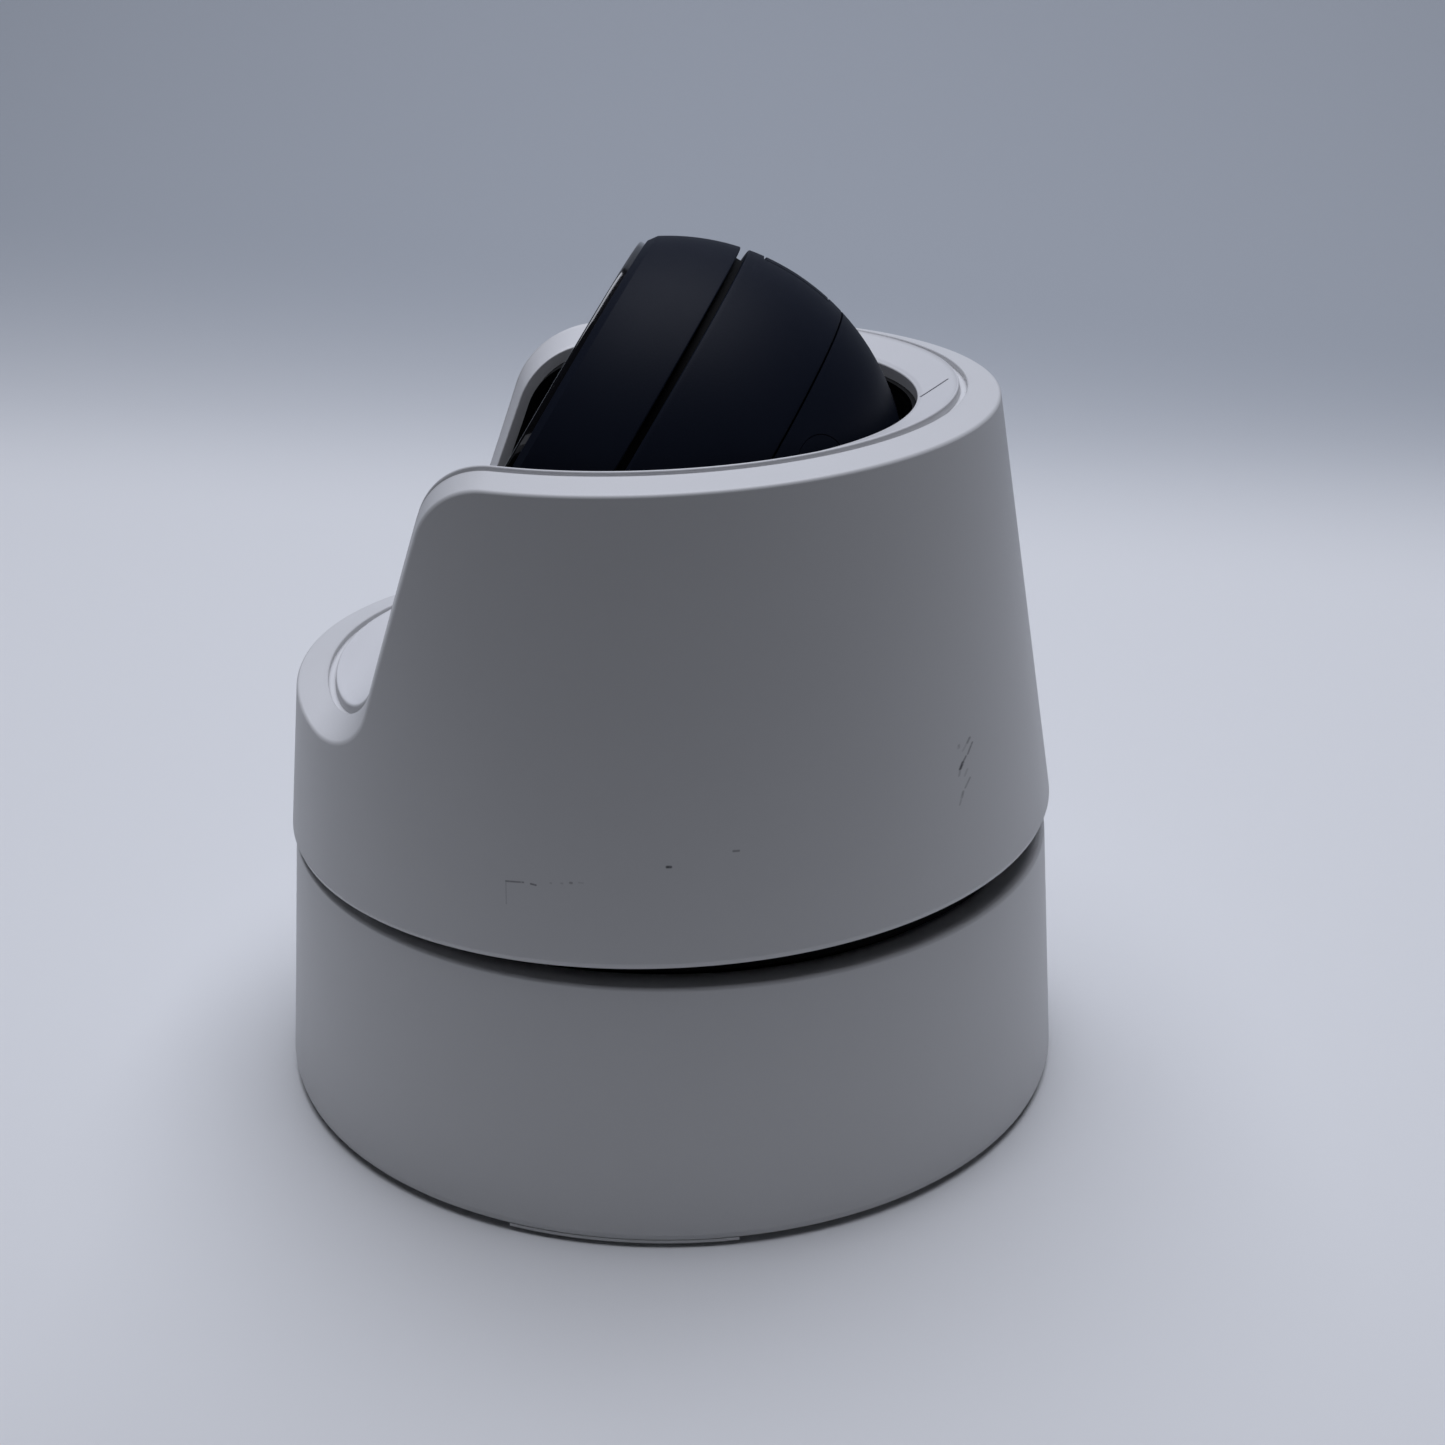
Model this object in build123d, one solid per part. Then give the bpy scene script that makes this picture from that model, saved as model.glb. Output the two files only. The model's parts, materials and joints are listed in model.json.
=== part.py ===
from build123d import *
from math import cos, pi, radians, sin, sqrt, tan
import os

# Compact pan-and-tilt security camera: a drum base, a saddle-shaped turret and a ball head.
#
# Frame: millimetres, +Z up, origin at the centre of the bottom of the base. The lens looks
# towards -Y at rest, and the tilt axle runs along X. The turret turns about the Z axis.

# ---------------------------------------------------------------- driving dimensions
# Ball head's size, which sets how wide the turret and the drum have to be
BALL_R = 36.16

# Base drum
BASE_TOP_R = BALL_R + 24.14     # outer radius of the drum at its top edge
BASE_R = BASE_TOP_R + 3.2       # outer radius of the drum at its foot
BASE_H = 41.1            # height of the top edge
BASE_WALL = 2.4          # side wall
FOOT_GAP = 1.2           # height of the rubber foot under the wall
FOOT_BEVEL = 0.7         # bevel at the bottom of the wall
BAND_W = 5.6             # sloping white band round the top of the drum
BAND_DROP = 0.8          # how far that band falls inwards
DECK_DROP = 2.1          # from the drum's top edge down to the deck inside the band
DECK_Z = BASE_H - DECK_DROP
DECK_T = 2.6             # deck thickness

# Turret shell
RIM_CLEAR = 0.8          # smallest gap between turret rim and drum
RIM_R = BASE_TOP_R + 0.6  # outer radius at the rim
TURRET_H = BALL_R + 29.24  # height from rim to top, along the shell's own axis
TURRET_TAPER = 0.1331    # radius lost for each millimetre of height
TURRET_LEAN = 2.07       # degrees that the shell leans forward
TURRET_WALL = 2.6
LIP_W = 4.9              # width of the bevelled lip round the saddle
LIP_T = 3.0              # depth of that lip
SEAM_W = 1.15            # open seam between lip and liner
LINER_SINK = 0.4         # liner lies this far below the lip
LINER_T = 2.0
INDEX_LENGTH = 6.6       # fine line on the rear of the liner
INDEX_W = 0.4
INDEX_X = 1.05           # where it leaves the opening
INDEX_TURN = 52.0        # degrees from straight back

# Saddle outline, seen from the side, in the shell's own frame
EAR_FRONT = 24.4         # how far the ears reach forward at the top
EAR_SLOPE = 20.66        # degrees of the ear's front edge from upright
LEDGE_H = 21.95          # height at which the ear's front edge would meet the ledge
LEDGE_SLOPE = 8.53       # degrees that the ledge rises towards the front
EAR_R = 12.0             # round at the top of the ear
LEDGE_R = 11.0           # round where the ear meets the ledge

# Ball head
BALL_RISE = BALL_R + 19.04      # tilt axle above the drum's top edge
BALL_Z = BASE_H + BALL_RISE
VIEW_UP = 30.5           # degrees that the lens looks above level at rest
BALL_WALL = 2.2
SEAM_REAR = -9.4         # places along the lens axis, from the ball's centre
SEAM_GAP = 0.25
GROOVE_LOW = 7.2
GROOVE_HIGH = 8.4
GROOVE_DEPTH = 1.7
RING_FRONT = 20.9
COVER_W = 15.0           # long card cover on top of the middle shell
COVER_EDGE_X = -2.5      # its edge nearest the middle
COVER_T = 1.1
COVER_INSET = 2.1
COVER_GAP = 0.15
PLUG_R = 4.6             # round covers on the rear shell
PLUG_SIDE = 49.8         # degrees round the lens axis from the top of the head
PLUG_BACK = 27.4         # degrees behind the middle of the ball
PLUG_T = 0.75
RING_BEVEL = 1.0
FACE_FRONT = 21.84
FACE_T = 1.2
FACE_MARGIN = 1.31       # from the ring's front edge in to the face plate
FACE_GAP = 0.3
SEAT_LAP = 2.6           # how far the ring's seat reaches in under the face plate
SEAT_Z = RING_FRONT - 2.6
SEAT_LOW = SEAT_Z - 1.4
OPENING_R = BALL_R + 3.64  # hole in the liner round the ball
WELL_R = BALL_R + 2.44   # inside of the cup that the ball turns in
WELL_T = 1.6
WELL_LIP_R = OPENING_R + 1.4  # flat lip of the cup under the liner
WELL_LIP_T = 1.2
WELL_LIP_GAP = 0.4       # between that lip and the liner
WELL_FOOT_R = 14.0

# Lens
BARREL_R = 17.0
BARREL_BORE = 14.6
BARREL_LOW = -7.0        # places along the lens axis, from the ball's centre
BARREL_HIGH = 19.0
SPIDER_LAP = 1.23        # from the inside of the middle shell in to the ends of the barrel's arms
SPIDER_W = 5.0
SPIDER_T = 1.6
MID_LEDGE_W = 3.0        # ledge inside the middle shell that the arms rest on
MID_LEDGE_T = 1.8
GLASS_LOW = 14.4
GLASS_R = 13.4
GLASS_T = 3.2
LENS_LEDGE_T = 0.8       # ledge that the front lens sits on
SLIDE_CLEAR = 0.15       # sliding lens cells in the barrel
CELL_BORE = 10.2
ZOOM_TRAVEL = 4.0        # forward, from its place at rest
ZOOM_CELL_L = 4.6
ZOOM_END_GAP = 1.4       # from the zoom cell to the front lens's ledge, at the end of its travel
FOCUS_TRAVEL = 2.5       # forward, from its place at rest
FOCUS_CELL_L = 3.4
CELL_GAP = 0.5           # between the two cells, at the end of the focus cell's travel

# Infra-red emitters, places along the lens axis
LED_COUNT = 8
LED_START = 22.5         # degrees from +X to the first emitter
LED_W = 3.4
LED_DOME_R = 1.5
LED_BOARD_LOW = 10.0
LED_BOARD_T = 1.2
CUP_LAP = 0.6            # reflector ring over the seat of the face plate
CUP_IN_GAP = 2.0         # reflector ring round the barrel
CUP_LOW_R = 2.2
CUP_HIGH_R = 3.0
CUP_LIFT = 0.8           # from the emitters' bodies up to the reflector ring

# Filter, sensor and heat sink behind the barrel
FILTER_TRAVEL = 9.0      # to +X, from its place at rest
FILTER_W = 22.0
FILTER_D = 13.0
FILTER_T = 1.2
FILTER_GAP = 0.2         # beside the filter; it has three times as much above and below
FILTER_END_GAP = 3.0     # left and right of the filter at the ends of its travel
FRAME_WALL_X = 1.5
FRAME_WALL_Y = 1.8
FRAME_FLOOR = 0.8
FRAME_ROOF = 1.2
VIEW_R = 5.4             # light passage through the filter frame
SENSOR_POST_X = 14.5
SENSOR_POST_R = 1.5
SENSOR_POST_H = 2.2
SENSOR_BOARD_W = 34.0
SENSOR_BOARD_D = 30.0
SENSOR_T = 1.4
SINK_BASE_T = 3.2
SINK_FIN_H = 6.0
SINK_FIN_T = 1.4
SINK_FIN_PITCH = 4.0

# Pan drive
PAN_BORE_R = 12.0        # cable passage through the hub
HUB_R = 17.0             # outside of the hub, which the gear and the bearing fit
BEARING_OUT_R = 24.0
BEARING_H = 4.0
SEAT_STEP = 1.2          # ledge under the bearing's outer race
SEAT_FLOOR = 1.0         # thickness of that ledge
SEAT_WALL = 3.0          # wall round the bearing
BALL_BEARING_R = 1.4
BALL_COUNT = 20
RUN_CLEAR = 0.06         # running clearance
GEAR_MODULE = 0.8
PAN_GEAR_TEETH = 2 * round((HUB_R + 11.0) / GEAR_MODULE)
PAN_PINION_TEETH = 14
GEAR_T = 3.6
GEAR_TOP_Z = DECK_Z - 5.6
PAN_MOTOR_R = 12.0
PAN_MOTOR_H = 10.5
MOTOR_SHAFT_R = 1.5
MOTOR_EAR = 15.0         # from the motor shaft to each fixing ear
MOTOR_DROP = 1.4         # motor below the gears
EAR_T = 1.0
EAR_W = 7.0
EAR_REACH = 5.0          # both ears together, beyond their screws
SHAFT_SEAT = 2.0
END_PLAY = 0.1
SCREW_CLEAR = 0.15

# Tilt drive
AXLE_R = 5.0
AXLE_BORE = 2.4
BOSS_OUT_R = 6.9
ARM_X = WELL_R + WELL_T + 0.7   # inner face of each yoke arm
ARM_T = 2.4
ARM_W = 22.0
ARM_TOP_R = 9.0
ARM_STRAIGHT = 14.0      # height up to which the arms keep their full width
BUSH_R = 6.6
PULLEY_R = 7.0
PULLEY_SMALL_R = 3.5
PULLEY_W = 2.6
BELT_W = 2.0
BELT_T = 0.8
BELT_GAP = 0.35
TILT_MOTOR_R = 9.0
TILT_MOTOR_L = 12.0
TILT_MOTOR_Z = BALL_Z - BALL_R - 3.14   # just clear of the cup that the ball turns in

# Turret floor
TRAY_Z = DECK_Z + 2.7
TRAY_T = 2.0
TRAY_R = RIM_R - 4.3
TRAY_BOSS_PCD = 2 * (TRAY_R - 6.6)
TRAY_WALL_H = 6.0
YOKE_T = 2.4
YOKE_R = ARM_X + ARM_T + 0.7

# Mounting plate, boards and fixings
PLATE_T = 2.5
PLATE_FIT = 0.3          # plate inside the drum wall
CABLE_R = 14.0           # cable passage in the mounting plate
BOLT_PCD = 85.0
BOLT_R = 2.25
BOLT_COUNT = 4
TAB_COUNT = 3
TAB_WIDTH = 34.0
TAB_REACH = 2.0
MAIN_BOARD_Z = 14.5
BOARD_T = 1.6
MAIN_BOARD_R = 52.0
POST_PCD = 88.0
POST_COUNT = 4
POST_R = 3.0
SOLID_FOOT = 4.0         # solid height at the foot of each threaded post
BOSS_PCD = 100.0
BOSS_R = 3.2
CROWN_PCD = 52.0        # screws that join yoke, tray and hub
SCREW_R = 1.45
DRIVER_Y = 31.0          # motor driver board on the yoke
DRIVER_POST_X = 17.0
DRIVER_LIFT = 4.0
JACK_W = 16.0
JACK_D = 15.0
JACK_SOCKET_W = 11.8
JACK_SOCKET_D = 8.2
BUTTON_R = 2.0
BUTTON_Y = 26.0
BUTTON_TRAVEL = 0.8

# ---------------------------------------------------------------- values worked out from them
UP = (Align.CENTER, Align.CENTER, Align.MIN)
FAR = 200.0
RIM_Z = BASE_H + RIM_CLEAR + RIM_R * sin(radians(TURRET_LEAN))
SHELL = Location((0, 0, RIM_Z), (TURRET_LEAN, 0, 0))
HEAD = Location((0, 0, BALL_Z), (90 - VIEW_UP, 0, 0))
PLATE_Z = FOOT_GAP
PLATE_TOP = PLATE_Z + PLATE_T
PLATE_R = BASE_R - BASE_WALL - PLATE_FIT
TRAY_TOP = TRAY_Z + TRAY_T
YOKE_TOP = TRAY_TOP + YOKE_T
DRIVER_Z = YOKE_TOP + DRIVER_LIFT
GEAR_R = GEAR_MODULE * PAN_GEAR_TEETH / 2
PINION_R = GEAR_MODULE * PAN_PINION_TEETH / 2
PAN_MOTOR_Y = GEAR_R + PINION_R
GEAR_Z = GEAR_TOP_Z - GEAR_T
MOTOR_TOP = GEAR_Z - MOTOR_DROP
BEARING_Z = DECK_Z - BEARING_H
RACE_MID_R = (BEARING_OUT_R + HUB_R) / 2
RING_EDGE_R = sqrt(BALL_R ** 2 - RING_FRONT ** 2)
FACE_R = RING_EDGE_R - FACE_MARGIN
LED_R = (BARREL_R + FACE_R) / 2  # circle of the infra-red emitters
MID_IN_R = sqrt((BALL_R - BALL_WALL) ** 2 - SEAM_REAR ** 2)
GEAR_WINDOW_R = (HUB_R + GEAR_MODULE * PAN_GEAR_TEETH / 2 - 1.0) / 2
PULLEY_X = ARM_X + ARM_T + 0.8
DECK_UNDER = DECK_Z - DECK_T
ZOOM_LOW = GLASS_LOW - LENS_LEDGE_T - ZOOM_END_GAP - ZOOM_TRAVEL - ZOOM_CELL_L
FOCUS_LOW = ZOOM_LOW - CELL_GAP - FOCUS_TRAVEL - FOCUS_CELL_L
LED_LOW = LED_BOARD_LOW + LED_BOARD_T
LED_TOP = LED_LOW + 1.2
FILTER_HIGH = BARREL_LOW - FRAME_ROOF - FILTER_GAP * 3
FILTER_LOW = FILTER_HIGH - FILTER_T
FRAME_LOW = FILTER_LOW - FILTER_GAP * 3 - FRAME_FLOOR
SENSOR_BOARD_HIGH = FRAME_LOW - SENSOR_POST_H
SENSOR_BOARD_LOW = SENSOR_BOARD_HIGH - BOARD_T


# ---------------------------------------------------------------- shapes used by many pieces
def disc(radius, low, high):
    """A solid cylinder on the Z axis between two heights."""
    return Pos(0, 0, low) * Cylinder(radius, high - low, align=UP)


def ring(outer, inner, low, high):
    """A plain ring on the Z axis."""
    return disc(outer, low, high) - disc(inner, low - 1, high + 1)


def block(wide, deep, low, high):
    """A box centred on the Z axis between two heights."""
    return Pos(0, 0, low) * Box(wide, deep, high - low, align=UP)


def turned(points):
    """The solid that an outline of (radius, height) points sweeps round the Z axis."""
    outline = make_face(Polyline(*[(r, 0, z) for r, z in points], close=True))
    return revolve(outline, Axis.Z)


def round_x(radius, low, high):
    """A solid cylinder along X between two places on it."""
    return Pos(low, 0, 0) * Rot(0, 90, 0) * Cylinder(radius, high - low, align=UP)


def ring_x(outer, inner, low, high):
    """A ring along X."""
    return round_x(outer, low, high) - round_x(inner, low - 1, high + 1)


def circle_of(count, radius, start=0.0):
    """Evenly spaced places on a circle about the Z axis."""
    angles = [start + 360.0 * i / count for i in range(count)]
    return [Rot(0, 0, a) * Pos(radius, 0, 0) for a in angles]


def crown_places():
    """Where the screws join yoke, tray and hub."""
    return circle_of(4, CROWN_PCD / 2, 45.0)


def group(places, piece):
    """Copies of one piece at several places, as separate solids of one node."""
    return Compound([place * piece for place in places])


def shell_r(height):
    """Outer radius of the turret shell at a height above its rim."""
    return RIM_R - TURRET_TAPER * height


def cone(inset, low=0.0, high=TURRET_H):
    """The inside or outside of the turret wall, in the shell's own frame."""
    return Pos(0, 0, low) * Cone(shell_r(low) - inset, shell_r(high) - inset, high - low, align=UP)


def base_r(height):
    """Outer radius of the drum at a height."""
    return BASE_R - (BASE_R - BASE_TOP_R) * height / BASE_H


def saddle(drop):
    """Everything under the saddle outline, lowered square to itself by drop."""
    ear, ledge = radians(EAR_SLOPE), radians(LEDGE_SLOPE)
    top = TURRET_H - drop
    ear_top = EAR_FRONT - drop / cos(ear) + drop * tan(ear)
    ledge_at = (EAR_FRONT + (TURRET_H - LEDGE_H) * tan(ear), LEDGE_H)
    # the lowered ear edge and the lowered ledge cross at (front, height)
    lowered_x = ear_top + (top - ledge_at[1]) * tan(ear)
    rise = tan(ledge)
    lowered_h = ledge_at[1] - drop / cos(ledge)
    shift = (ledge_at[1] - lowered_h - rise * (lowered_x - ledge_at[0])) / (1 + rise * tan(ear))
    foot_x, foot_h = lowered_x + shift * tan(ear), ledge_at[1] - shift
    far_h = foot_h + rise * (FAR - foot_x)
    low = -FAR
    points = [(FAR, low), (FAR, top), (-ear_top, top), (-foot_x, foot_h), (-FAR, far_h), (-FAR, low)]
    outline = make_face(Polyline(*[(0, y, z) for y, z in points], close=True))
    under = extrude(outline, amount=FAR, dir=(1, 0, 0), both=True)
    ear_edge = [e for e in under.edges().filter_by(Axis.X) if abs(e.center().Y + ear_top) < 0.01
                and abs(e.center().Z - top) < 0.01]
    under = fillet(ear_edge, EAR_R - drop)
    foot_edge = [e for e in under.edges().filter_by(Axis.X) if abs(e.center().Y + foot_x) < 0.01
                 and abs(e.center().Z - foot_h) < 0.01]
    return fillet(foot_edge, LEDGE_R + drop)


def zone(low, high, outer=BALL_R, inner=BALL_R - BALL_WALL):
    """The slice of a ball's wall between two places along the lens axis."""
    def at(radius, u):
        return (sqrt(radius ** 2 - u ** 2), 0, u)

    mid = (low + high) / 2
    lines = [ThreePointArc(at(outer, low), at(outer, mid), at(outer, high)),
             Line(at(outer, high), at(inner, high)),
             ThreePointArc(at(inner, high), at(inner, mid), at(inner, low)),
             Line(at(inner, low), at(outer, low))]
    return Rot(0, 0, 50) * revolve(make_face(lines), Axis.Z)


def gear(teeth, width, bore):
    """A spur gear with slim straight-sided teeth on the Z axis, one tooth along +X."""
    pitch_r = GEAR_MODULE * teeth / 2
    root, tip = pitch_r - GEAR_MODULE * 1.15, pitch_r + GEAR_MODULE * 0.8
    foot, crown = GEAR_MODULE * 0.72, GEAR_MODULE * 0.26
    points = []
    for i in range(teeth):
        turn = 2 * pi * i / teeth
        for radius, across in ((root, -foot), (tip, -crown), (tip, crown), (root, foot)):
            x, y = radius * cos(turn) - across * sin(turn), radius * sin(turn) + across * cos(turn)
            points.append((x, y))
    wheel = extrude(make_face(Polyline(*points, close=True)), amount=width)
    return wheel - Pos(0, 0, -1) * Cylinder(bore, width + 2, align=UP)


def screw(head_r, head_h, length):
    """A pan-head screw, head up, with a cross recess, its seat at height 0."""
    head = fillet(Cylinder(head_r, head_h, align=UP).edges().group_by(Axis.Z)[-1], head_h * 0.45)
    cross = Box(head_r * 1.1, head_r * 0.3, head_h) + Box(head_r * 0.3, head_r * 1.1, head_h)
    shank = Pos(0, 0, -length) * Cylinder(SCREW_R, length, align=UP)
    return head + shank - Pos(0, 0, head_h) * cross


# ---------------------------------------------------------------- base drum
def tab_places():
    """The three places round the foot where it reaches out to the wall."""
    return [Rot(0, 0, 360.0 * i / TAB_COUNT) for i in range(TAB_COUNT)]


def bolt_places(start=45.0):
    return circle_of(BOLT_COUNT, BOLT_PCD / 2, start)


def post_places():
    return circle_of(POST_COUNT, POST_PCD / 2, 20.0)


def boss_places():
    """Where the plate screws go up into the drum's own posts."""
    return circle_of(POST_COUNT, BOSS_PCD / 2, 45.0)


def base_shell():
    """Tapered drum wall with its sloping top band and the deck that carries the pan bearing."""
    inner_top = BASE_TOP_R - BAND_W
    bevel_z = FOOT_GAP + FOOT_BEVEL
    wall_in = BASE_R - BASE_WALL
    seat_low = BEARING_Z - SEAT_FLOOR
    body = turned([
        (wall_in, FOOT_GAP), (base_r(bevel_z) - FOOT_BEVEL * 0.6, FOOT_GAP), (base_r(bevel_z), bevel_z),
        (base_r(BASE_H - 0.4), BASE_H - 0.4), (base_r(BASE_H) - 0.4, BASE_H),
        (inner_top, BASE_H - BAND_DROP), (inner_top, DECK_Z), (BEARING_OUT_R, DECK_Z),
        (BEARING_OUT_R, BEARING_Z),
        (BEARING_OUT_R - SEAT_STEP, BEARING_Z), (BEARING_OUT_R - SEAT_STEP, seat_low),
        (BEARING_OUT_R + SEAT_WALL, seat_low), (BEARING_OUT_R + SEAT_WALL, DECK_UNDER),
        (base_r(DECK_UNDER) - BASE_WALL, DECK_UNDER),
    ])
    for place in boss_places():
        post = disc(BOSS_R, PLATE_TOP, DECK_UNDER) - disc(SCREW_R, PLATE_TOP, PLATE_TOP + 9.0)
        body = body + place * post
    post = disc(POST_R, MOTOR_TOP, DECK_UNDER) - disc(SCREW_R, MOTOR_TOP - 1, MOTOR_TOP + 5)
    for place in motor_ear_places():
        body = body + place * post
    return body


def mounting_plate():
    plate = disc(PLATE_R, PLATE_Z, PLATE_TOP)
    plate = chamfer(plate.edges().group_by(Axis.Z)[-1], 0.5)
    holes = disc(CABLE_R, 0, 9)
    for place in bolt_places(0.0):
        holes = holes + place * disc(BOLT_R, 0, 9)
    for place in boss_places():
        holes = holes + place * disc(SCREW_R + 0.2, 0, 9)
    holes = holes + Pos(0, BUTTON_Y, 0) * disc(BUTTON_R + 0.3, 0, 9)
    return plate - holes


def foot_gasket():
    """Rubber foot ring, with three tabs that reach out under the wall."""
    inner = PLATE_R - 7.0
    pad = ring(PLATE_R - 0.5, inner, 0, FOOT_GAP)
    wide = ring(PLATE_R - 0.5 + TAB_REACH, inner, 0, FOOT_GAP)
    for place in tab_places():
        pad = pad + (wide & place * Pos(PLATE_R, 0, 0) * block(20, TAB_WIDTH, 0, FOOT_GAP))
    for place in boss_places():
        pad = pad - place * disc(3.4, -1, 9)
    return pad


def plate_screws():
    return group(boss_places(), Pos(0, 0, PLATE_Z) * Rot(180, 0, 0) * screw(2.8, 1.1, 7.0))


def main_board():
    board = disc(MAIN_BOARD_R, MAIN_BOARD_Z, MAIN_BOARD_Z + BOARD_T)
    for place in boss_places():
        board = board - place * disc(4.4, 0, 60)
    for place in post_places():
        board = board - place * disc(SCREW_R + 0.1, 0, 60)
    return board


def board_posts():
    post = disc(POST_R, PLATE_TOP, MAIN_BOARD_Z)
    return group(post_places(), post - disc(SCREW_R, PLATE_TOP + SOLID_FOOT, MAIN_BOARD_Z))


def board_screws():
    return group(post_places(), Pos(0, 0, MAIN_BOARD_Z + BOARD_T) * screw(2.6, 1.4, 6.0))


def board_chips():
    """Processor, memory, power coils and capacitors on the top of the main board."""
    top = MAIN_BOARD_Z + BOARD_T
    chips = [
        Pos(-28, -16, 0) * block(17, 17, top, top + 1.8), Pos(-28, 4, 0) * block(12, 9, top, top + 1.2),
        Pos(26, -22, 0) * block(10, 10, top, top + 4.5), Pos(26, -8, 0) * block(10, 10, top, top + 4.5),
        Pos(-8, -38, 0) * block(8, 5, top, top + 2.0), Pos(8, -38, 0) * block(8, 5, top, top + 2.0),
    ]
    cans = [Pos(x, 20, 0) * disc(3.2, top, top + 8.0) for x in (-36, -28, 28, 36)]
    return Compound(chips + cans)


def network_jack():
    """Shielded network socket that faces down through the plate."""
    body = block(JACK_W, JACK_D, PLATE_TOP + 0.2, MAIN_BOARD_Z)
    socket = block(JACK_SOCKET_W, JACK_SOCKET_D, PLATE_Z, MAIN_BOARD_Z - 2.0)
    latch = Pos(0, JACK_SOCKET_D / 2 + 1, 0) * block(4.6, 2.4, PLATE_Z, MAIN_BOARD_Z - 2.0)
    return body - socket - latch


def jack_contacts():
    pins = [Pos(-4.44 + 1.27 * i, -JACK_SOCKET_D / 2 + 0.5, 0) * block(0.5, 1.0, 6, MAIN_BOARD_Z - 2.0)
            for i in range(8)]
    return Compound(pins)


def reset_button():
    """Recessed reset button; it is pressed upwards through the plate."""
    cap = disc(BUTTON_R, PLATE_Z + 0.6, PLATE_TOP + 1.2)
    flange = disc(BUTTON_R + 1.0, PLATE_TOP + 0.3, PLATE_TOP + 1.2)
    stem = disc(1.0, PLATE_TOP + 1.0, MAIN_BOARD_Z - 3.0 - BUTTON_TRAVEL - 0.1)
    return Pos(0, BUTTON_Y, 0) * (cap + flange + stem)


def reset_switch():
    return Pos(0, BUTTON_Y, 0) * block(6.0, 6.0, MAIN_BOARD_Z - 3.0, MAIN_BOARD_Z)


def motor_ear_places():
    """Where the two ears of the pan motor are screwed up to the deck's posts."""
    return [Pos(side * MOTOR_EAR, PAN_MOTOR_Y, 0) for side in (-1, 1)]


def pan_motor():
    """Small stepper motor hung from the deck, shaft up, with its two fixing ears."""
    low = MOTOR_TOP - PAN_MOTOR_H
    ears = block(2 * MOTOR_EAR + EAR_REACH, EAR_W, MOTOR_TOP - EAR_T, MOTOR_TOP)
    bore = disc(MOTOR_SHAFT_R + RUN_CLEAR, low + SHAFT_SEAT, MOTOR_TOP + 1)
    motor = Pos(0, PAN_MOTOR_Y, 0) * (disc(PAN_MOTOR_R, low, MOTOR_TOP) + ears - bore)
    for place in motor_ear_places():
        motor = motor - place * disc(SCREW_R + SCREW_CLEAR, 0, MOTOR_TOP + 1)
    return motor


def motor_screws():
    under = Pos(0, 0, MOTOR_TOP - EAR_T) * Rot(180, 0, 0)
    return group([place * under for place in motor_ear_places()], screw(2.6, 1.2, 5.0))


def pan_pinion():
    low = MOTOR_TOP - PAN_MOTOR_H
    half_pitch = 180.0 / PAN_PINION_TEETH
    wheel = Pos(0, 0, GEAR_Z) * Rot(0, 0, -90 + half_pitch) * gear(PAN_PINION_TEETH, GEAR_T, 0.5)
    shaft = disc(MOTOR_SHAFT_R, low + SHAFT_SEAT + END_PLAY, GEAR_TOP_Z + 0.6)
    return Pos(0, PAN_MOTOR_Y, 0) * (wheel + shaft)


def bearing_groove():
    return Pos(0, 0, (BEARING_Z + DECK_Z) / 2) * Torus(RACE_MID_R, BALL_BEARING_R + RUN_CLEAR)


def bearing_outer_race():
    return ring(BEARING_OUT_R, RACE_MID_R + 0.7, BEARING_Z, DECK_Z) - bearing_groove()


def bearing_balls():
    mid = (BEARING_Z + DECK_Z) / 2
    return group(circle_of(BALL_COUNT, RACE_MID_R), Pos(0, 0, mid) * Sphere(BALL_BEARING_R))


# ---------------------------------------------------------------- turret
def bearing_inner_race():
    return ring(RACE_MID_R - 0.7, HUB_R, BEARING_Z, DECK_Z) - bearing_groove()


def pan_hub():
    """Hollow spindle that hangs the turret in the pan bearing."""
    tube = ring(HUB_R, PAN_BORE_R, GEAR_Z - 2.0, TRAY_Z)
    flange = ring(BEARING_OUT_R + 6.0, PAN_BORE_R, DECK_Z + 0.7, TRAY_Z)
    step = ring(RACE_MID_R - 1.2, PAN_BORE_R, DECK_Z, TRAY_Z)
    return tube + flange + step


def pan_gear():
    wheel = Pos(0, 0, GEAR_Z) * Rot(0, 0, 90) * gear(PAN_GEAR_TEETH, GEAR_T, HUB_R)
    windows = group(circle_of(6, GEAR_WINDOW_R, 30.0), disc(3.0, GEAR_Z - 1, GEAR_TOP_Z + 1))
    return wheel - windows


def hub_nut():
    nut = ring(HUB_R + 2.6, HUB_R, GEAR_Z - 2.6, GEAR_Z)
    for place in circle_of(4, HUB_R + 2.6):
        nut = nut - place * block(2.4, 3.0, GEAR_Z - 3, GEAR_Z - 1.2)
    return nut


def turret_tray():
    """Black floor of the turret, with an upturned wall that closes the view into the seam."""
    floor = ring(TRAY_R, PAN_BORE_R, TRAY_Z, TRAY_TOP)
    wall = ring(TRAY_R, TRAY_R - 2.0, TRAY_Z, TRAY_TOP + TRAY_WALL_H)
    boss_spots = circle_of(POST_COUNT, TRAY_BOSS_PCD / 2, 45.0)
    bosses = group(boss_spots, ring(3.4, 1.2, TRAY_Z, TRAY_TOP + TRAY_WALL_H))
    tray = floor + wall + bosses
    for place in crown_places():
        tray = tray - place * disc(SCREW_R, 0, 60)
    return tray


def turret_shell():
    """Tapered white shell with the saddle cut-out and its thick lip."""
    solid = cone(0) & saddle(0)
    room = cone(TURRET_WALL, -1.0, TURRET_H) & saddle(LIP_T)
    return SHELL * (solid - room - cone(LIP_W, -1.0, TURRET_H + 1.0))


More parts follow.
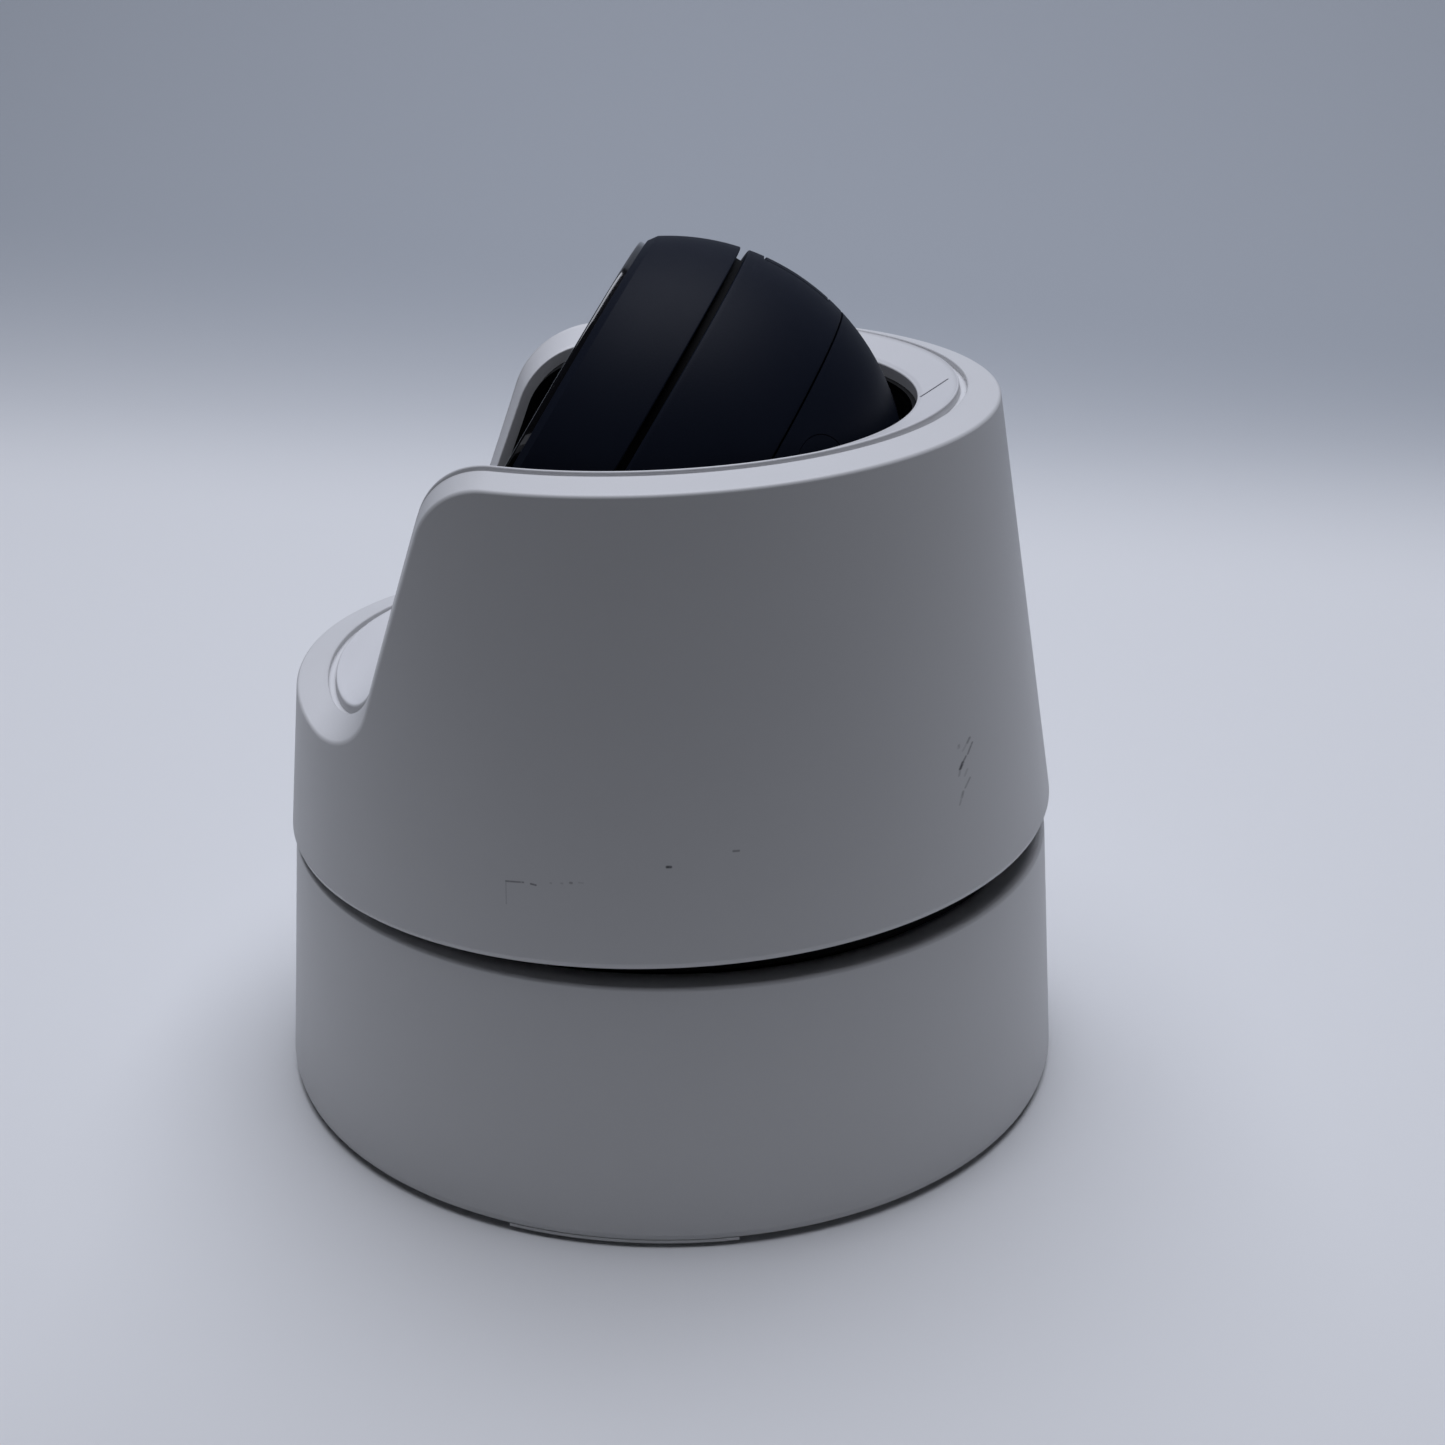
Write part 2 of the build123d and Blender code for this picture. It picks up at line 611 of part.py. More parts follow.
def turret_liner():
    """Inset panel that follows the saddle and leaves a round hole for the ball."""
    gap = LIP_W + SEAM_W
    under = cone(gap - 1, -1, TURRET_H + 1) & saddle(LINER_SINK + LINER_T)
    sheet = (cone(gap) & saddle(LINER_SINK)) - under
    keep = Pos(0, 0, LEDGE_H - 8.0) * Cylinder(RIM_R, TURRET_H, align=UP)
    return SHELL * ((sheet & keep) - index_line()) - disc(OPENING_R, 0, FAR)


def index_line():
    """Fine index line on the rear of the liner, from the opening outwards."""
    slot = Pos(0, INDEX_LENGTH / 2, 0) * Box(INDEX_W, INDEX_LENGTH, 0.8)
    return Pos(INDEX_X, OPENING_R, TURRET_H - LINER_SINK) * Rot(0, 0, INDEX_TURN) * slot


def ball_well():
    """Dark cup under the ball, trimmed to the saddle, with a slot on each side for the axle."""
    cup = Sphere(WELL_R + WELL_T) - Sphere(WELL_R)
    cup = Pos(0, 0, BALL_Z) * (cup & Pos(0, 0, -FAR / 2 + 6.0) * Box(FAR, FAR, FAR))
    lip_drop = LINER_SINK + LINER_T + WELL_LIP_GAP
    cup = cup & SHELL * saddle(lip_drop)
    lip = disc(WELL_LIP_R, BALL_Z - WELL_R, FAR) - Pos(0, 0, BALL_Z) * Sphere(WELL_R)
    cup = cup + (lip & SHELL * (saddle(lip_drop) - saddle(lip_drop + WELL_LIP_T)))
    axle_way = Pos(0, 0, BALL_Z) * round_x(BUSH_R + 1.0, -FAR, FAR)
    foot = ring(WELL_FOOT_R, WELL_FOOT_R - 3.0, YOKE_TOP, BALL_Z - WELL_R / 2)
    foot = foot - Pos(0, 0, BALL_Z) * Sphere(WELL_R + WELL_T / 2)
    return cup - axle_way + foot


def yoke():
    """Metal yoke: a disc on the tray and two upright arms that carry the tilt bushes."""
    plate = ring(YOKE_R, PAN_BORE_R, TRAY_TOP, YOKE_TOP)
    frame = plate
    for side in (-1, 1):
        x = side * (ARM_X + ARM_T / 2)
        arm = Pos(x, 0, TRAY_TOP) * Box(ARM_T, ARM_W, BALL_Z - TRAY_TOP, align=UP)
        top = Pos(0, 0, BALL_Z) * round_x(ARM_TOP_R, x - ARM_T / 2, x + ARM_T / 2)
        for end in (-1, 1):
            corners = [(end * ARM_W, BALL_Z), (end * ARM_TOP_R, BALL_Z),
                       (end * ARM_W / 2, YOKE_TOP + ARM_STRAIGHT), (end * ARM_W, YOKE_TOP + ARM_STRAIGHT)]
            wedge = make_face(Polyline(*[(0, y, z) for y, z in corners], close=True))
            arm = arm - Pos(x, 0, 0) * extrude(wedge, amount=ARM_T, dir=(1, 0, 0), both=True)
        frame = frame + arm + top
    frame = frame - Pos(0, 0, BALL_Z) * round_x(BUSH_R, -FAR, FAR)
    frame = frame - Pos(0, 0, TILT_MOTOR_Z) * round_x(MOTOR_SHAFT_R + 1.5, ARM_X - 1, FAR)
    for place in crown_places():
        frame = frame - place * disc(SCREW_R + 0.2, 0, 60)
    return frame


def yoke_screws():
    return group(crown_places(), Pos(0, 0, YOKE_TOP) * screw(2.8, 1.6, 4.0))


def tilt_bushes():
    bush = ring_x(BUSH_R, AXLE_R + RUN_CLEAR, ARM_X - 0.2, ARM_X + ARM_T)
    return group([Pos(0, 0, BALL_Z) * Rot(0, 0, turn) for turn in (0, 180)], bush)


def tilt_motor():
    can = round_x(TILT_MOTOR_R, ARM_X - TILT_MOTOR_L, ARM_X)
    bore = round_x(MOTOR_SHAFT_R + RUN_CLEAR, ARM_X - TILT_MOTOR_L + 2.0, FAR)
    return Pos(0, 0, TILT_MOTOR_Z) * (can - bore)


def tilt_pulley():
    """Small belt pulley on the tilt motor's shaft."""
    start = ARM_X - TILT_MOTOR_L + 2.1
    shaft = round_x(MOTOR_SHAFT_R, start, PULLEY_X + PULLEY_W)
    return Pos(0, 0, TILT_MOTOR_Z) * (shaft + belt_wheel(PULLEY_SMALL_R))


def belt_wheel(radius):
    wheel = round_x(radius, PULLEY_X, PULLEY_X + PULLEY_W)
    rims = round_x(radius + BELT_GAP + BELT_T * 0.6, PULLEY_X - 0.3, PULLEY_X)
    return wheel + rims


def tilt_belt():
    """Belt loop round the two pulleys, a running gap clear of both."""
    big, small, apart = PULLEY_R + BELT_GAP, PULLEY_SMALL_R + BELT_GAP, BALL_Z - TILT_MOTOR_Z

    def loop(extra):
        rb, rs = big + extra, small + extra
        lean = (rb - rs) / apart
        side = sqrt(1 - lean * lean)
        faces = Pos(0, BALL_Z) * Circle(rb) + Pos(0, TILT_MOTOR_Z) * Circle(rs)
        high, low = BALL_Z + rb * lean, TILT_MOTOR_Z + rs * lean
        corners = [(rb * side, high), (-rb * side, high), (-rs * side, low), (rs * side, low)]
        return faces + make_face(Polyline(*corners, close=True))

    flat = extrude(loop(BELT_T) - loop(0), amount=BELT_W)
    return Pos(PULLEY_X + (PULLEY_W - BELT_W) / 2, 0, 0) * Plane.YZ.location * flat


def driver_board():
    board = Pos(0, DRIVER_Y, 0) * block(40.0, 20.0, DRIVER_Z, DRIVER_Z + BOARD_T)
    for place in driver_places():
        board = board - place * disc(SCREW_R + 0.1, 0, 90)
    return board


def driver_places():
    return [Pos(x, DRIVER_Y, 0) for x in (-DRIVER_POST_X, DRIVER_POST_X)]


def driver_posts():
    """Snap posts that carry the driver board on the yoke."""
    board_top = DRIVER_Z + BOARD_T
    snap = disc(SCREW_R, DRIVER_Z, board_top) + Pos(0, 0, board_top) * Cone(2.1, 1.0, 1.6, align=UP)
    return group(driver_places(), disc(POST_R - 0.2, YOKE_TOP, DRIVER_Z) + snap)


def driver_chips():
    top = DRIVER_Z + BOARD_T
    sizes = ((-8.0, 27.0, 7.0, 1.4), (4.0, 27.0, 7.0, 1.4), (-8.0, 36.0, 5.0, 2.4), (6.0, 36.0, 9.0, 3.0))
    return Compound([Pos(x, y, 0) * block(w, w * 0.7, top, top + h) for x, y, w, h in sizes])


def wire_bundle():
    """Bundle of wires up the hollow hub; it twists as the turret turns."""
    return disc(3.0, MAIN_BOARD_Z + BOARD_T + 0.3, YOKE_TOP + 6.0)


# ---------------------------------------------------------------- ball head, lens along local +Z
def rear_shell():
    back = SEAM_REAR - SEAM_GAP
    shell = (Sphere(BALL_R) - Sphere(BALL_R - BALL_WALL)) & disc(BALL_R, -BALL_R, back)
    for side in (-1, 1):
        shell = shell - plug_place(side) * Cylinder(PLUG_R + COVER_GAP, 2 * PLUG_T)
    return HEAD * shell


def plug_place(side):
    """The seat of the round cover on one side of the rear shell, axis along the surface normal."""
    back, turn = radians(PLUG_BACK), radians(PLUG_SIDE)
    outward = (side * sin(turn) * cos(back), cos(turn) * cos(back), -sin(back))
    return Plane((0, 0, 0), z_dir=outward).location * Pos(0, 0, BALL_R)


def side_plugs():
    cap = Cylinder(PLUG_R, 2 * PLUG_T) & Pos(0, 0, -BALL_R) * Sphere(BALL_R)
    return HEAD * group([plug_place(side) for side in (-1, 1)], cap)


def mid_shell():
    """Middle of the ball with its axle bosses and the card cover's seat."""
    body = zone(SEAM_REAR, GROOVE_LOW)
    body = body + ring(MID_IN_R + 0.5, MID_IN_R - MID_LEDGE_W, SEAM_REAR, SEAM_REAR + MID_LEDGE_T)
    for side in (-1, 1):
        ends = sorted((side * (BALL_R - 8.0), side * (BALL_R - 1.2)))
        body = body + round_x(BOSS_OUT_R, *ends)
    return HEAD * (body - round_x(AXLE_R, -FAR, FAR) - cover_block(COVER_GAP))


def cover_block(clear):
    """The space of the long card cover on top of the middle shell."""
    low, high = SEAM_REAR + COVER_INSET - clear, GROOVE_LOW - COVER_INSET + clear
    middle = COVER_EDGE_X - COVER_W / 2
    slab = Pos(middle, BALL_R, low) * Box(COVER_W + 2 * clear, 20.0, high - low, align=UP)
    return slab - Sphere(BALL_R - COVER_T)


def card_cover():
    return HEAD * (cover_block(0.0) & Sphere(BALL_R))


def groove_band():
    """Seal ring that forms the floor of the groove between the middle shell and the front ring."""
    floor_r = sqrt(BALL_R ** 2 - GROOVE_HIGH ** 2) - GROOVE_DEPTH
    return HEAD * (ring(floor_r, floor_r - 2.4, GROOVE_LOW, GROOVE_HIGH))


def front_ring():
    ring_shell = zone(GROOVE_HIGH, RING_FRONT, BALL_R, BALL_R - BALL_WALL)
    trim = turned([(RING_EDGE_R - RING_BEVEL * 1.3, RING_FRONT + 0.1), (RING_EDGE_R + 3, RING_FRONT + 0.1),
                   (RING_EDGE_R + 3, RING_FRONT - RING_BEVEL * 1.6)])
    seat = ring(FACE_R - 0.3, FACE_R - SEAT_LAP, SEAT_LOW, SEAT_Z)
    joinery = ring(FACE_R + 2.0, FACE_R - 0.3, SEAT_LOW, SEAT_Z) & Sphere(BALL_R - 1.0)
    bore = disc(FACE_R + FACE_GAP, SEAT_Z, FAR)
    return HEAD * (ring_shell - trim - bore + seat + joinery)


def face_plate():
    """Smoked front window disc with a bevelled edge, held just proud of the ring."""
    plate = disc(FACE_R, FACE_FRONT - FACE_T, FACE_FRONT)
    plate = chamfer(plate.edges().group_by(Axis.Z)[-1], 0.35)
    return HEAD * (plate - disc(BARREL_R + 1.2, 0, 60))


def lens_window():
    return HEAD * disc(BARREL_R + 1.1, FACE_FRONT - 1.1, FACE_FRONT - 0.1)


def light_ring():
    """Clear ribbed light guide behind the edge of the face plate."""
    low, high = SEAT_Z, FACE_FRONT - FACE_T
    guide = ring(FACE_R - 0.4, FACE_R - 2.4, low, high)
    rib = block(0.5, 0.7, low, high)
    for place in circle_of(72, FACE_R - 0.4):
        guide = guide - place * rib
    return HEAD * guide


def emitter_board():
    return HEAD * ring(FACE_R - 1.2, BARREL_R + 0.3, LED_BOARD_LOW, LED_LOW)


def emitters():
    """Infra-red emitters with their domed lenses."""
    dome = Sphere(LED_DOME_R) & block(LED_W, LED_W, -0.2, LED_W)
    body = block(LED_W, LED_W, LED_LOW, LED_TOP) + Pos(0, 0, LED_TOP) * dome
    return HEAD * group(circle_of(LED_COUNT, LED_R, LED_START), body)


def emitter_cups():
    """Ring of bright reflector cups round the emitters."""
    low, high = LED_TOP + CUP_LIFT, SEAT_LOW
    cups = ring(FACE_R - SEAT_LAP + CUP_LAP, BARREL_R + CUP_IN_GAP, low, high)
    cup = Pos(0, 0, low - 0.2) * Cone(CUP_LOW_R, CUP_HIGH_R, high - low + 1.5, align=UP)
    for place in circle_of(LED_COUNT, LED_R, LED_START):
        cups = cups - place * cup
    return HEAD * cups


def lens_barrel():
    tube = ring(BARREL_R, BARREL_BORE, BARREL_LOW, BARREL_HIGH)
    lip = ring(BARREL_BORE + 0.2, GLASS_R - 0.8, BARREL_HIGH - 1.0, BARREL_HIGH)
    ledge = ring(BARREL_BORE + 0.2, GLASS_R - 1.2, GLASS_LOW - LENS_LEDGE_T, GLASS_LOW)
    spider = Box(FAR, SPIDER_W, SPIDER_T) + Box(SPIDER_W, FAR, SPIDER_T)
    reach = ring(MID_IN_R - SPIDER_LAP, BARREL_R - 0.5, -BARREL_R, BARREL_R)
    low = SEAM_REAR + MID_LEDGE_T
    spider = Pos(0, 0, low + SPIDER_T / 2) * Rot(0, 0, 45) * spider & reach
    return HEAD * (tube + lip + ledge + spider)


def domed_glass(low, radius, thick, bulge):
    """A lens element with a spherical front face and a flat back."""
    ball = (radius * radius + bulge * bulge) / (2 * bulge)
    return disc(radius, low, low + thick) & Pos(0, 0, low + thick - ball) * Sphere(ball)


def front_lens():
    return HEAD * domed_glass(GLASS_LOW, BARREL_BORE, GLASS_T, 2.0)


def lens_cell(low, length):
    """A sliding cell in the barrel with its guide shoulders."""
    return ring(BARREL_BORE - SLIDE_CLEAR, CELL_BORE, low, low + length)


def zoom_cell():
    return HEAD * lens_cell(ZOOM_LOW, ZOOM_CELL_L)


def zoom_lens():
    return HEAD * domed_glass(ZOOM_LOW + 0.8, CELL_BORE, 3.0, 1.2)


def focus_cell():
    return HEAD * lens_cell(FOCUS_LOW, FOCUS_CELL_L)


def focus_lens():
    return HEAD * domed_glass(FOCUS_LOW + 0.6, CELL_BORE, 2.2, 0.8)


def filter_frame():
    """Frame behind the barrel in which the infra-red filter slides sideways."""
    room_w, room_d = FILTER_W + FILTER_TRAVEL + 2 * FILTER_END_GAP, FILTER_D + 2 * FILTER_GAP
    frame = block(room_w + 2 * FRAME_WALL_X, room_d + 2 * FRAME_WALL_Y, FRAME_LOW, BARREL_LOW)
    frame = frame - block(room_w, room_d, FRAME_LOW + FRAME_FLOOR, BARREL_LOW - FRAME_ROOF)
    frame = frame - disc(VIEW_R, FRAME_LOW - 1, BARREL_LOW + 1)
    for x in (-SENSOR_POST_X, SENSOR_POST_X):
        for y in (-room_d / 2, room_d / 2):
            frame = frame + Pos(x, y, 0) * disc(SENSOR_POST_R, SENSOR_BOARD_HIGH, FRAME_LOW + 0.4)
    return HEAD * frame


def cut_filter():
    return HEAD * (Pos(-FILTER_TRAVEL / 2, 0, 0) * block(FILTER_W, FILTER_D, FILTER_LOW, FILTER_HIGH))


def sensor_board():
    board = block(SENSOR_BOARD_W, SENSOR_BOARD_D, SENSOR_BOARD_LOW, SENSOR_BOARD_HIGH)
    for x in (-SENSOR_POST_X, SENSOR_POST_X):
        for y in (2.5 - SENSOR_BOARD_D / 2, SENSOR_BOARD_D / 2 - 2.5):
            board = board - Pos(x, y, 0) * disc(1.1, SENSOR_BOARD_LOW - 1, SENSOR_BOARD_HIGH + 1)
    return HEAD * board


def image_sensor():
    return HEAD * block(11.0, 9.0, SENSOR_BOARD_HIGH, SENSOR_BOARD_HIGH + SENSOR_T)


def heat_sink():
    base_low = SENSOR_BOARD_LOW - SINK_BASE_T
    sink = block(28.0, 24.0, base_low, SENSOR_BOARD_LOW)
    for i in range(-3, 4):
        fin = block(SINK_FIN_T, 24.0, base_low - SINK_FIN_H, base_low + 0.4)
        sink = sink + Pos(SINK_FIN_PITCH * i, 0, 0) * fin
    return HEAD * sink


def tilt_axles():
    """Hollow stub axles of the head; the right one also carries the belt pulley."""
    stubs = []
    for turn, reach in ((0, PULLEY_X + PULLEY_W), (180, ARM_X + ARM_T + 0.6)):
        stub = ring_x(AXLE_R, AXLE_BORE, BALL_R - 7.0, reach)
        stubs.append(Rot(0, 0, turn) * (stub + ring_x(AXLE_R + 1.4, AXLE_BORE, BALL_R + 0.6, ARM_X - 0.5)))
    return Pos(0, 0, BALL_Z) * Compound(stubs)


def head_pulley():
    wheel = belt_wheel(PULLEY_R) - round_x(AXLE_R, 0, FAR)
    return Pos(0, 0, BALL_Z) * wheel


NODES = [
    base_shell, mounting_plate, foot_gasket, plate_screws, main_board, board_posts, board_screws,
    board_chips, network_jack, jack_contacts, reset_button, reset_switch, pan_motor, motor_screws,
    pan_pinion, bearing_outer_race, bearing_balls, bearing_inner_race, pan_hub, pan_gear, hub_nut,
    turret_tray, turret_shell, turret_liner, ball_well, yoke, yoke_screws, tilt_bushes, tilt_motor,
    tilt_pulley, tilt_belt, driver_board, driver_posts, driver_chips, wire_bundle, rear_shell,
    side_plugs, mid_shell, card_cover, groove_band, front_ring, face_plate, lens_window, light_ring,
    emitter_board, emitters, emitter_cups, lens_barrel, front_lens, zoom_cell, zoom_lens, focus_cell,
    focus_lens, filter_frame, cut_filter, sensor_board, image_sensor, heat_sink, tilt_axles,
    head_pulley,
]

os.makedirs("parts", exist_ok=True)
for make in NODES:
    export_step(make(), f"parts/{make.__name__}.step")
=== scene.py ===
"""Looks of a compact pan-and-tilt security camera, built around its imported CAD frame.

A white drum carries a white saddle-shaped turret, and a blue-black ball head with the lens
turns inside the saddle. The scene is in metres, with +Z up and the lens towards -Y. The sizes of
pieces are in millimetres, and MM turns them into metres.
"""

from __future__ import annotations

import json
import logging
import math
from dataclasses import dataclass
from enum import Enum
from typing import Callable, Iterable, Optional, Sequence, Union

import bmesh
import bpy
from mathutils import Matrix, Vector

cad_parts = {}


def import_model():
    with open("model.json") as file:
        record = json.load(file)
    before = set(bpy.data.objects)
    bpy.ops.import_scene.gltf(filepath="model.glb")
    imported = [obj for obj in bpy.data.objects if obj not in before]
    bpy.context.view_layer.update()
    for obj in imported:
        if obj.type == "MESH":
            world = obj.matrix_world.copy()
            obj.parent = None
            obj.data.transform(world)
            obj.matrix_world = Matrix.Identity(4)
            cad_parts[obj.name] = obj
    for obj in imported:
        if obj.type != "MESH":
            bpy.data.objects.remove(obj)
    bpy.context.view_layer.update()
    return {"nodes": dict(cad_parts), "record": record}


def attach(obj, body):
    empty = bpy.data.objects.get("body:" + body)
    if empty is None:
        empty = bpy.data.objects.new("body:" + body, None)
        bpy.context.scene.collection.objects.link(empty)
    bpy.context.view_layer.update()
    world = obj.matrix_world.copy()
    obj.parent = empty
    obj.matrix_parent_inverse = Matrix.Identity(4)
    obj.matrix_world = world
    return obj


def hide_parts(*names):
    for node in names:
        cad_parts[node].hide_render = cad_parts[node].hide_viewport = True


LOG = logging.getLogger("security_camera")
MM = 0.001
Colour = tuple[float, float, float]
Point = tuple[float, float, float]


# ---------------------------------------------------------------- shader expressions
class Wire:
    """A shader socket, or a number, that can be used in Python arithmetic."""

    def __init__(self, recipe: "Recipe", source: Union[bpy.types.NodeSocket, float]) -> None:
        """Wrap one source.

        Args:
            recipe: the material recipe that owns the nodes.
            source: an output socket or a plain number.
        """
        self.recipe = recipe
        self.source = source

    def _math(self, operation: str, *others: Union["Wire", float]) -> "Wire":
        """Add one Math node with this wire as its first input.

        Args:
            operation: the Math node's operation.
            others: the further inputs.

        Returns:
            The node's value.
        """
        return self.recipe.node("Math", {"operation": operation}, [self, *others])

    def __add__(self, other: Union["Wire", float]) -> "Wire":
        """Sum."""
        return self._math("ADD", other)

    def __radd__(self, other: float) -> "Wire":
        """Sum with a number on the left."""
        return self._math("ADD", other)

    def __sub__(self, other: Union["Wire", float]) -> "Wire":
        """Difference."""
        return self._math("SUBTRACT", other)

    def __rsub__(self, other: float) -> "Wire":
        """Difference from a number."""
        return self.recipe.node("Math", {"operation": "SUBTRACT"}, [other, self])

    def __mul__(self, other: Union["Wire", float]) -> "Wire":
        """Product."""
        return self._math("MULTIPLY", other)

    def __rmul__(self, other: float) -> "Wire":
        """Product with a number on the left."""
        return self._math("MULTIPLY", other)

    def __truediv__(self, other: Union["Wire", float]) -> "Wire":
        """Quotient."""
        return self._math("DIVIDE", other)

    def at_most(self, other: Union["Wire", float]) -> "Wire":
        """The smaller of the two."""
        return self._math("MINIMUM", other)

    def at_least(self, other: Union["Wire", float]) -> "Wire":
        """The larger of the two."""
        return self._math("MAXIMUM", other)

    def root(self) -> "Wire":
        """Square root."""
        return self._math("SQRT")

    def _step(self, edge: float, soft: float, under: float, over: float) -> "Wire":
        """Go smoothly from one value to another across an edge.

        Args:
            edge: the value at the middle of the change.
            soft: how wide the change is.
            under: what comes out well under the edge.
            over: what comes out well over it.

        Returns:
            The changed value.
        """
        return self.recipe.node("MapRange", {"interpolation_type": "SMOOTHSTEP"},
                                [self, edge - soft / 2, edge + soft / 2, under, over])

    def below(self, edge: float, soft: float) -> "Wire":
        """1 well under an edge and 0 well over it."""
        return self._step(edge, soft, 1.0, 0.0)

    def above(self, edge: float, soft: float) -> "Wire":
        """0 well under an edge and 1 well over it."""
        return self._step(edge, soft, 0.0, 1.0)


class Recipe:
    """One node material with a Principled surface, and the tools to write it."""

    def __init__(self, name: str) -> None:
        """Start an empty material.

        Args:
            name: the material's name.
        """
        self.material = bpy.data.materials.new(name)
        self.material.use_nodes = True
        self.tree = self.material.node_tree
        self.surface = self.tree.nodes["Principled BSDF"]

    def node(self, kind: str, settings: Optional[dict] = None, inputs: Union[Sequence, dict, None] = None,
             output: Union[int, str] = 0) -> Wire:
        """Add a shader node.

        Args:
            kind: the node's type without its ShaderNode prefix.
            settings: node properties, set before the inputs.
            inputs: values or wires, in socket order or by socket name or number.
            output: which output to hand back.

        Returns:
            The chosen output.
        """
        made = self.tree.nodes.new("ShaderNode" + kind)
        for key, value in (settings or {}).items():
            setattr(made, key, value)
        pairs = inputs.items() if isinstance(inputs, dict) else enumerate(inputs or [])
        for key, value in pairs:
            self.join(made.inputs[key], value)
        return Wire(self, made.outputs[output])

    def join(self, socket: bpy.types.NodeSocket, value: object) -> None:
        """Set a socket from a number, a colour, a vector or a wire."""
        if isinstance(value, Wire):
            value = value.source
        if isinstance(value, bpy.types.NodeSocket):
            self.tree.links.new(value, socket)
        elif isinstance(value, tuple) and len(value) == 3 and socket.type == "RGBA":
            socket.default_value = (*value, 1.0)
        else:
            socket.default_value = value

    def set(self, **sockets: object) -> None:
        """Set the surface's sockets; underscores stand for spaces in their names."""
        for key, value in sockets.items():
            self.join(self.surface.inputs[key.replace("_", " ")], value)

    def place(self) -> Wire:
        """Object coordinates."""
        return self.node("TexCoord", output="Object")

    def axes(self) -> tuple[Wire, Wire, Wire]:
        """Object coordinates as three numbers, in metres."""
        split = self.node("SeparateXYZ", inputs=[self.place()])
        outputs = split.source.node.outputs
        return Wire(self, outputs[0]), Wire(self, outputs[1]), Wire(self, outputs[2])

    def noise(self, size: float, detail: float = 3.0, rough: float = 0.5,
              stretch: Point = (1, 1, 1)) -> Wire:
        """Noise with features of about one size.

        Args:
            size: feature size in metres.
            detail: octaves.
            rough: weight of the finer octaves.
            stretch: scale along each axis.

        Returns:
            A number from 0 to 1.
        """
        where = self.node("Mapping", inputs={"Vector": self.place(), "Scale": stretch})
        return self.node("TexNoise", {"normalize": True},
                         {"Vector": where, "Scale": 1.0 / size, "Detail": detail, "Roughness": rough})

    def blend(self, amount: Union[Wire, float], first: object, second: object) -> Wire:
        """Mix two colours.

        Args:
            amount: 0 for the first, 1 for the second.
            first: a colour or a wire.
            second: a colour or a wire.

        Returns:
            The mixed colour.
        """
        return self.node("Mix", {"data_type": "RGBA"}, {0: amount, 6: first, 7: second}, output=2)

    @staticmethod
    def around(middle: float, *swings: tuple[Wire, float]) -> Wire:
        """A number that swings about a middle value.

        Args:
            middle: the value where every mask is a half.
            swings: masks of 0 to 1, each with how far it moves the number.

        Returns:
            The number.
        """
        total: Union[Wire, float] = 0.0
        for mask, span in swings:
            total = mask * span + total
        return total + (middle - sum(span for _, span in swings) / 2)

    def bump(self, height: Wire, depth: float, strength: float = 1.0) -> Wire:
        """A normal from a height of 0 to 1 that stands for a depth in metres."""
        return self.node("Bump", inputs={"Strength": strength, "Distance": depth, "Height": height},
                         output="Normal")


# ---------------------------------------------------------------- finishes
CASE_WHITE = (0.625, 0.625, 0.63)
CASE_SHADE = (0.605, 0.605, 0.61)


@dataclass(frozen=True)
class MouldedPlastic:
    """Satin moulded plastic with a fine spark-eroded grain and faint handling marks."""

    name: str
    colour: Colour
    shade: Colour
    roughness: float = 0.42
    rub_rough: float = 0.08
    grain_rough: float = 0.05
    cloud_size: float = 0.018
    rub_size: float = 0.006
    grain: float = 0.00022
    grain_depth: float = 0.000012
    specular: float = 0.45

    def build(self) -> bpy.types.Material:
        """Make the material."""
        recipe = Recipe(self.name)
        fine = recipe.noise(self.grain, 2.0, 0.6)
        rub = recipe.noise(self.rub_size, 4.0, 0.6, (1.0, 1.0, 0.5))
        colour = recipe.blend(recipe.noise(self.cloud_size), self.shade, self.colour)
        rough = recipe.around(self.roughness, (rub, self.rub_rough), (fine, self.grain_rough))
        self._surface(recipe, colour, rough, fine)
        return recipe.material

    def _surface(self, recipe: Recipe, colour: Wire, rough: Wire, relief: Wire) -> None:
        """Give the surface its colour, roughness and relief.

        Args:
            recipe: the material's recipe.
            colour: the plastic's colour.
            rough: its roughness.
            relief: height of its grain, 0 to 1.
        """
        recipe.set(Base_Color=colour, Roughness=rough, Specular_IOR_Level=self.specular,
                   Normal=recipe.bump(relief, self.grain_depth))


@dataclass(frozen=True)
class Stroke:
    """One straight scratch on the wall at the +X side, as (y, z) places in millimetres."""

    start: tuple[float, float]
    end: tuple[float, float]
    width: float = 0.22
    strength: float = 0.7

    def mask(self, side: Wire, along: Wire, high: Wire) -> Wire:
        """Where the scratch shows.

        Args:
            side: the x coordinate in metres.
            along: the y coordinate in metres.
            high: the z coordinate in metres.

        Returns:
            Its strength on the scratch and 0 away from it.
        """
        (ay, az), (by, bz) = self.start, self.end
        run_y, run_z = by - ay, bz - az
        off_y, off_z = along / MM - ay, high / MM - az
        length = max(run_y ** 2 + run_z ** 2, 0.0001)
        share = ((off_y * run_y + off_z * run_z) / length).at_least(0.0).at_most(1.0)
        gap_y, gap_z = off_y - share * run_y, off_z - share * run_z
        reach = (gap_y * gap_y + gap_z * gap_z).root()
        return reach.below(self.width / 2, self.width * 0.7) * side.above(0.0, 0.001) * self.strength


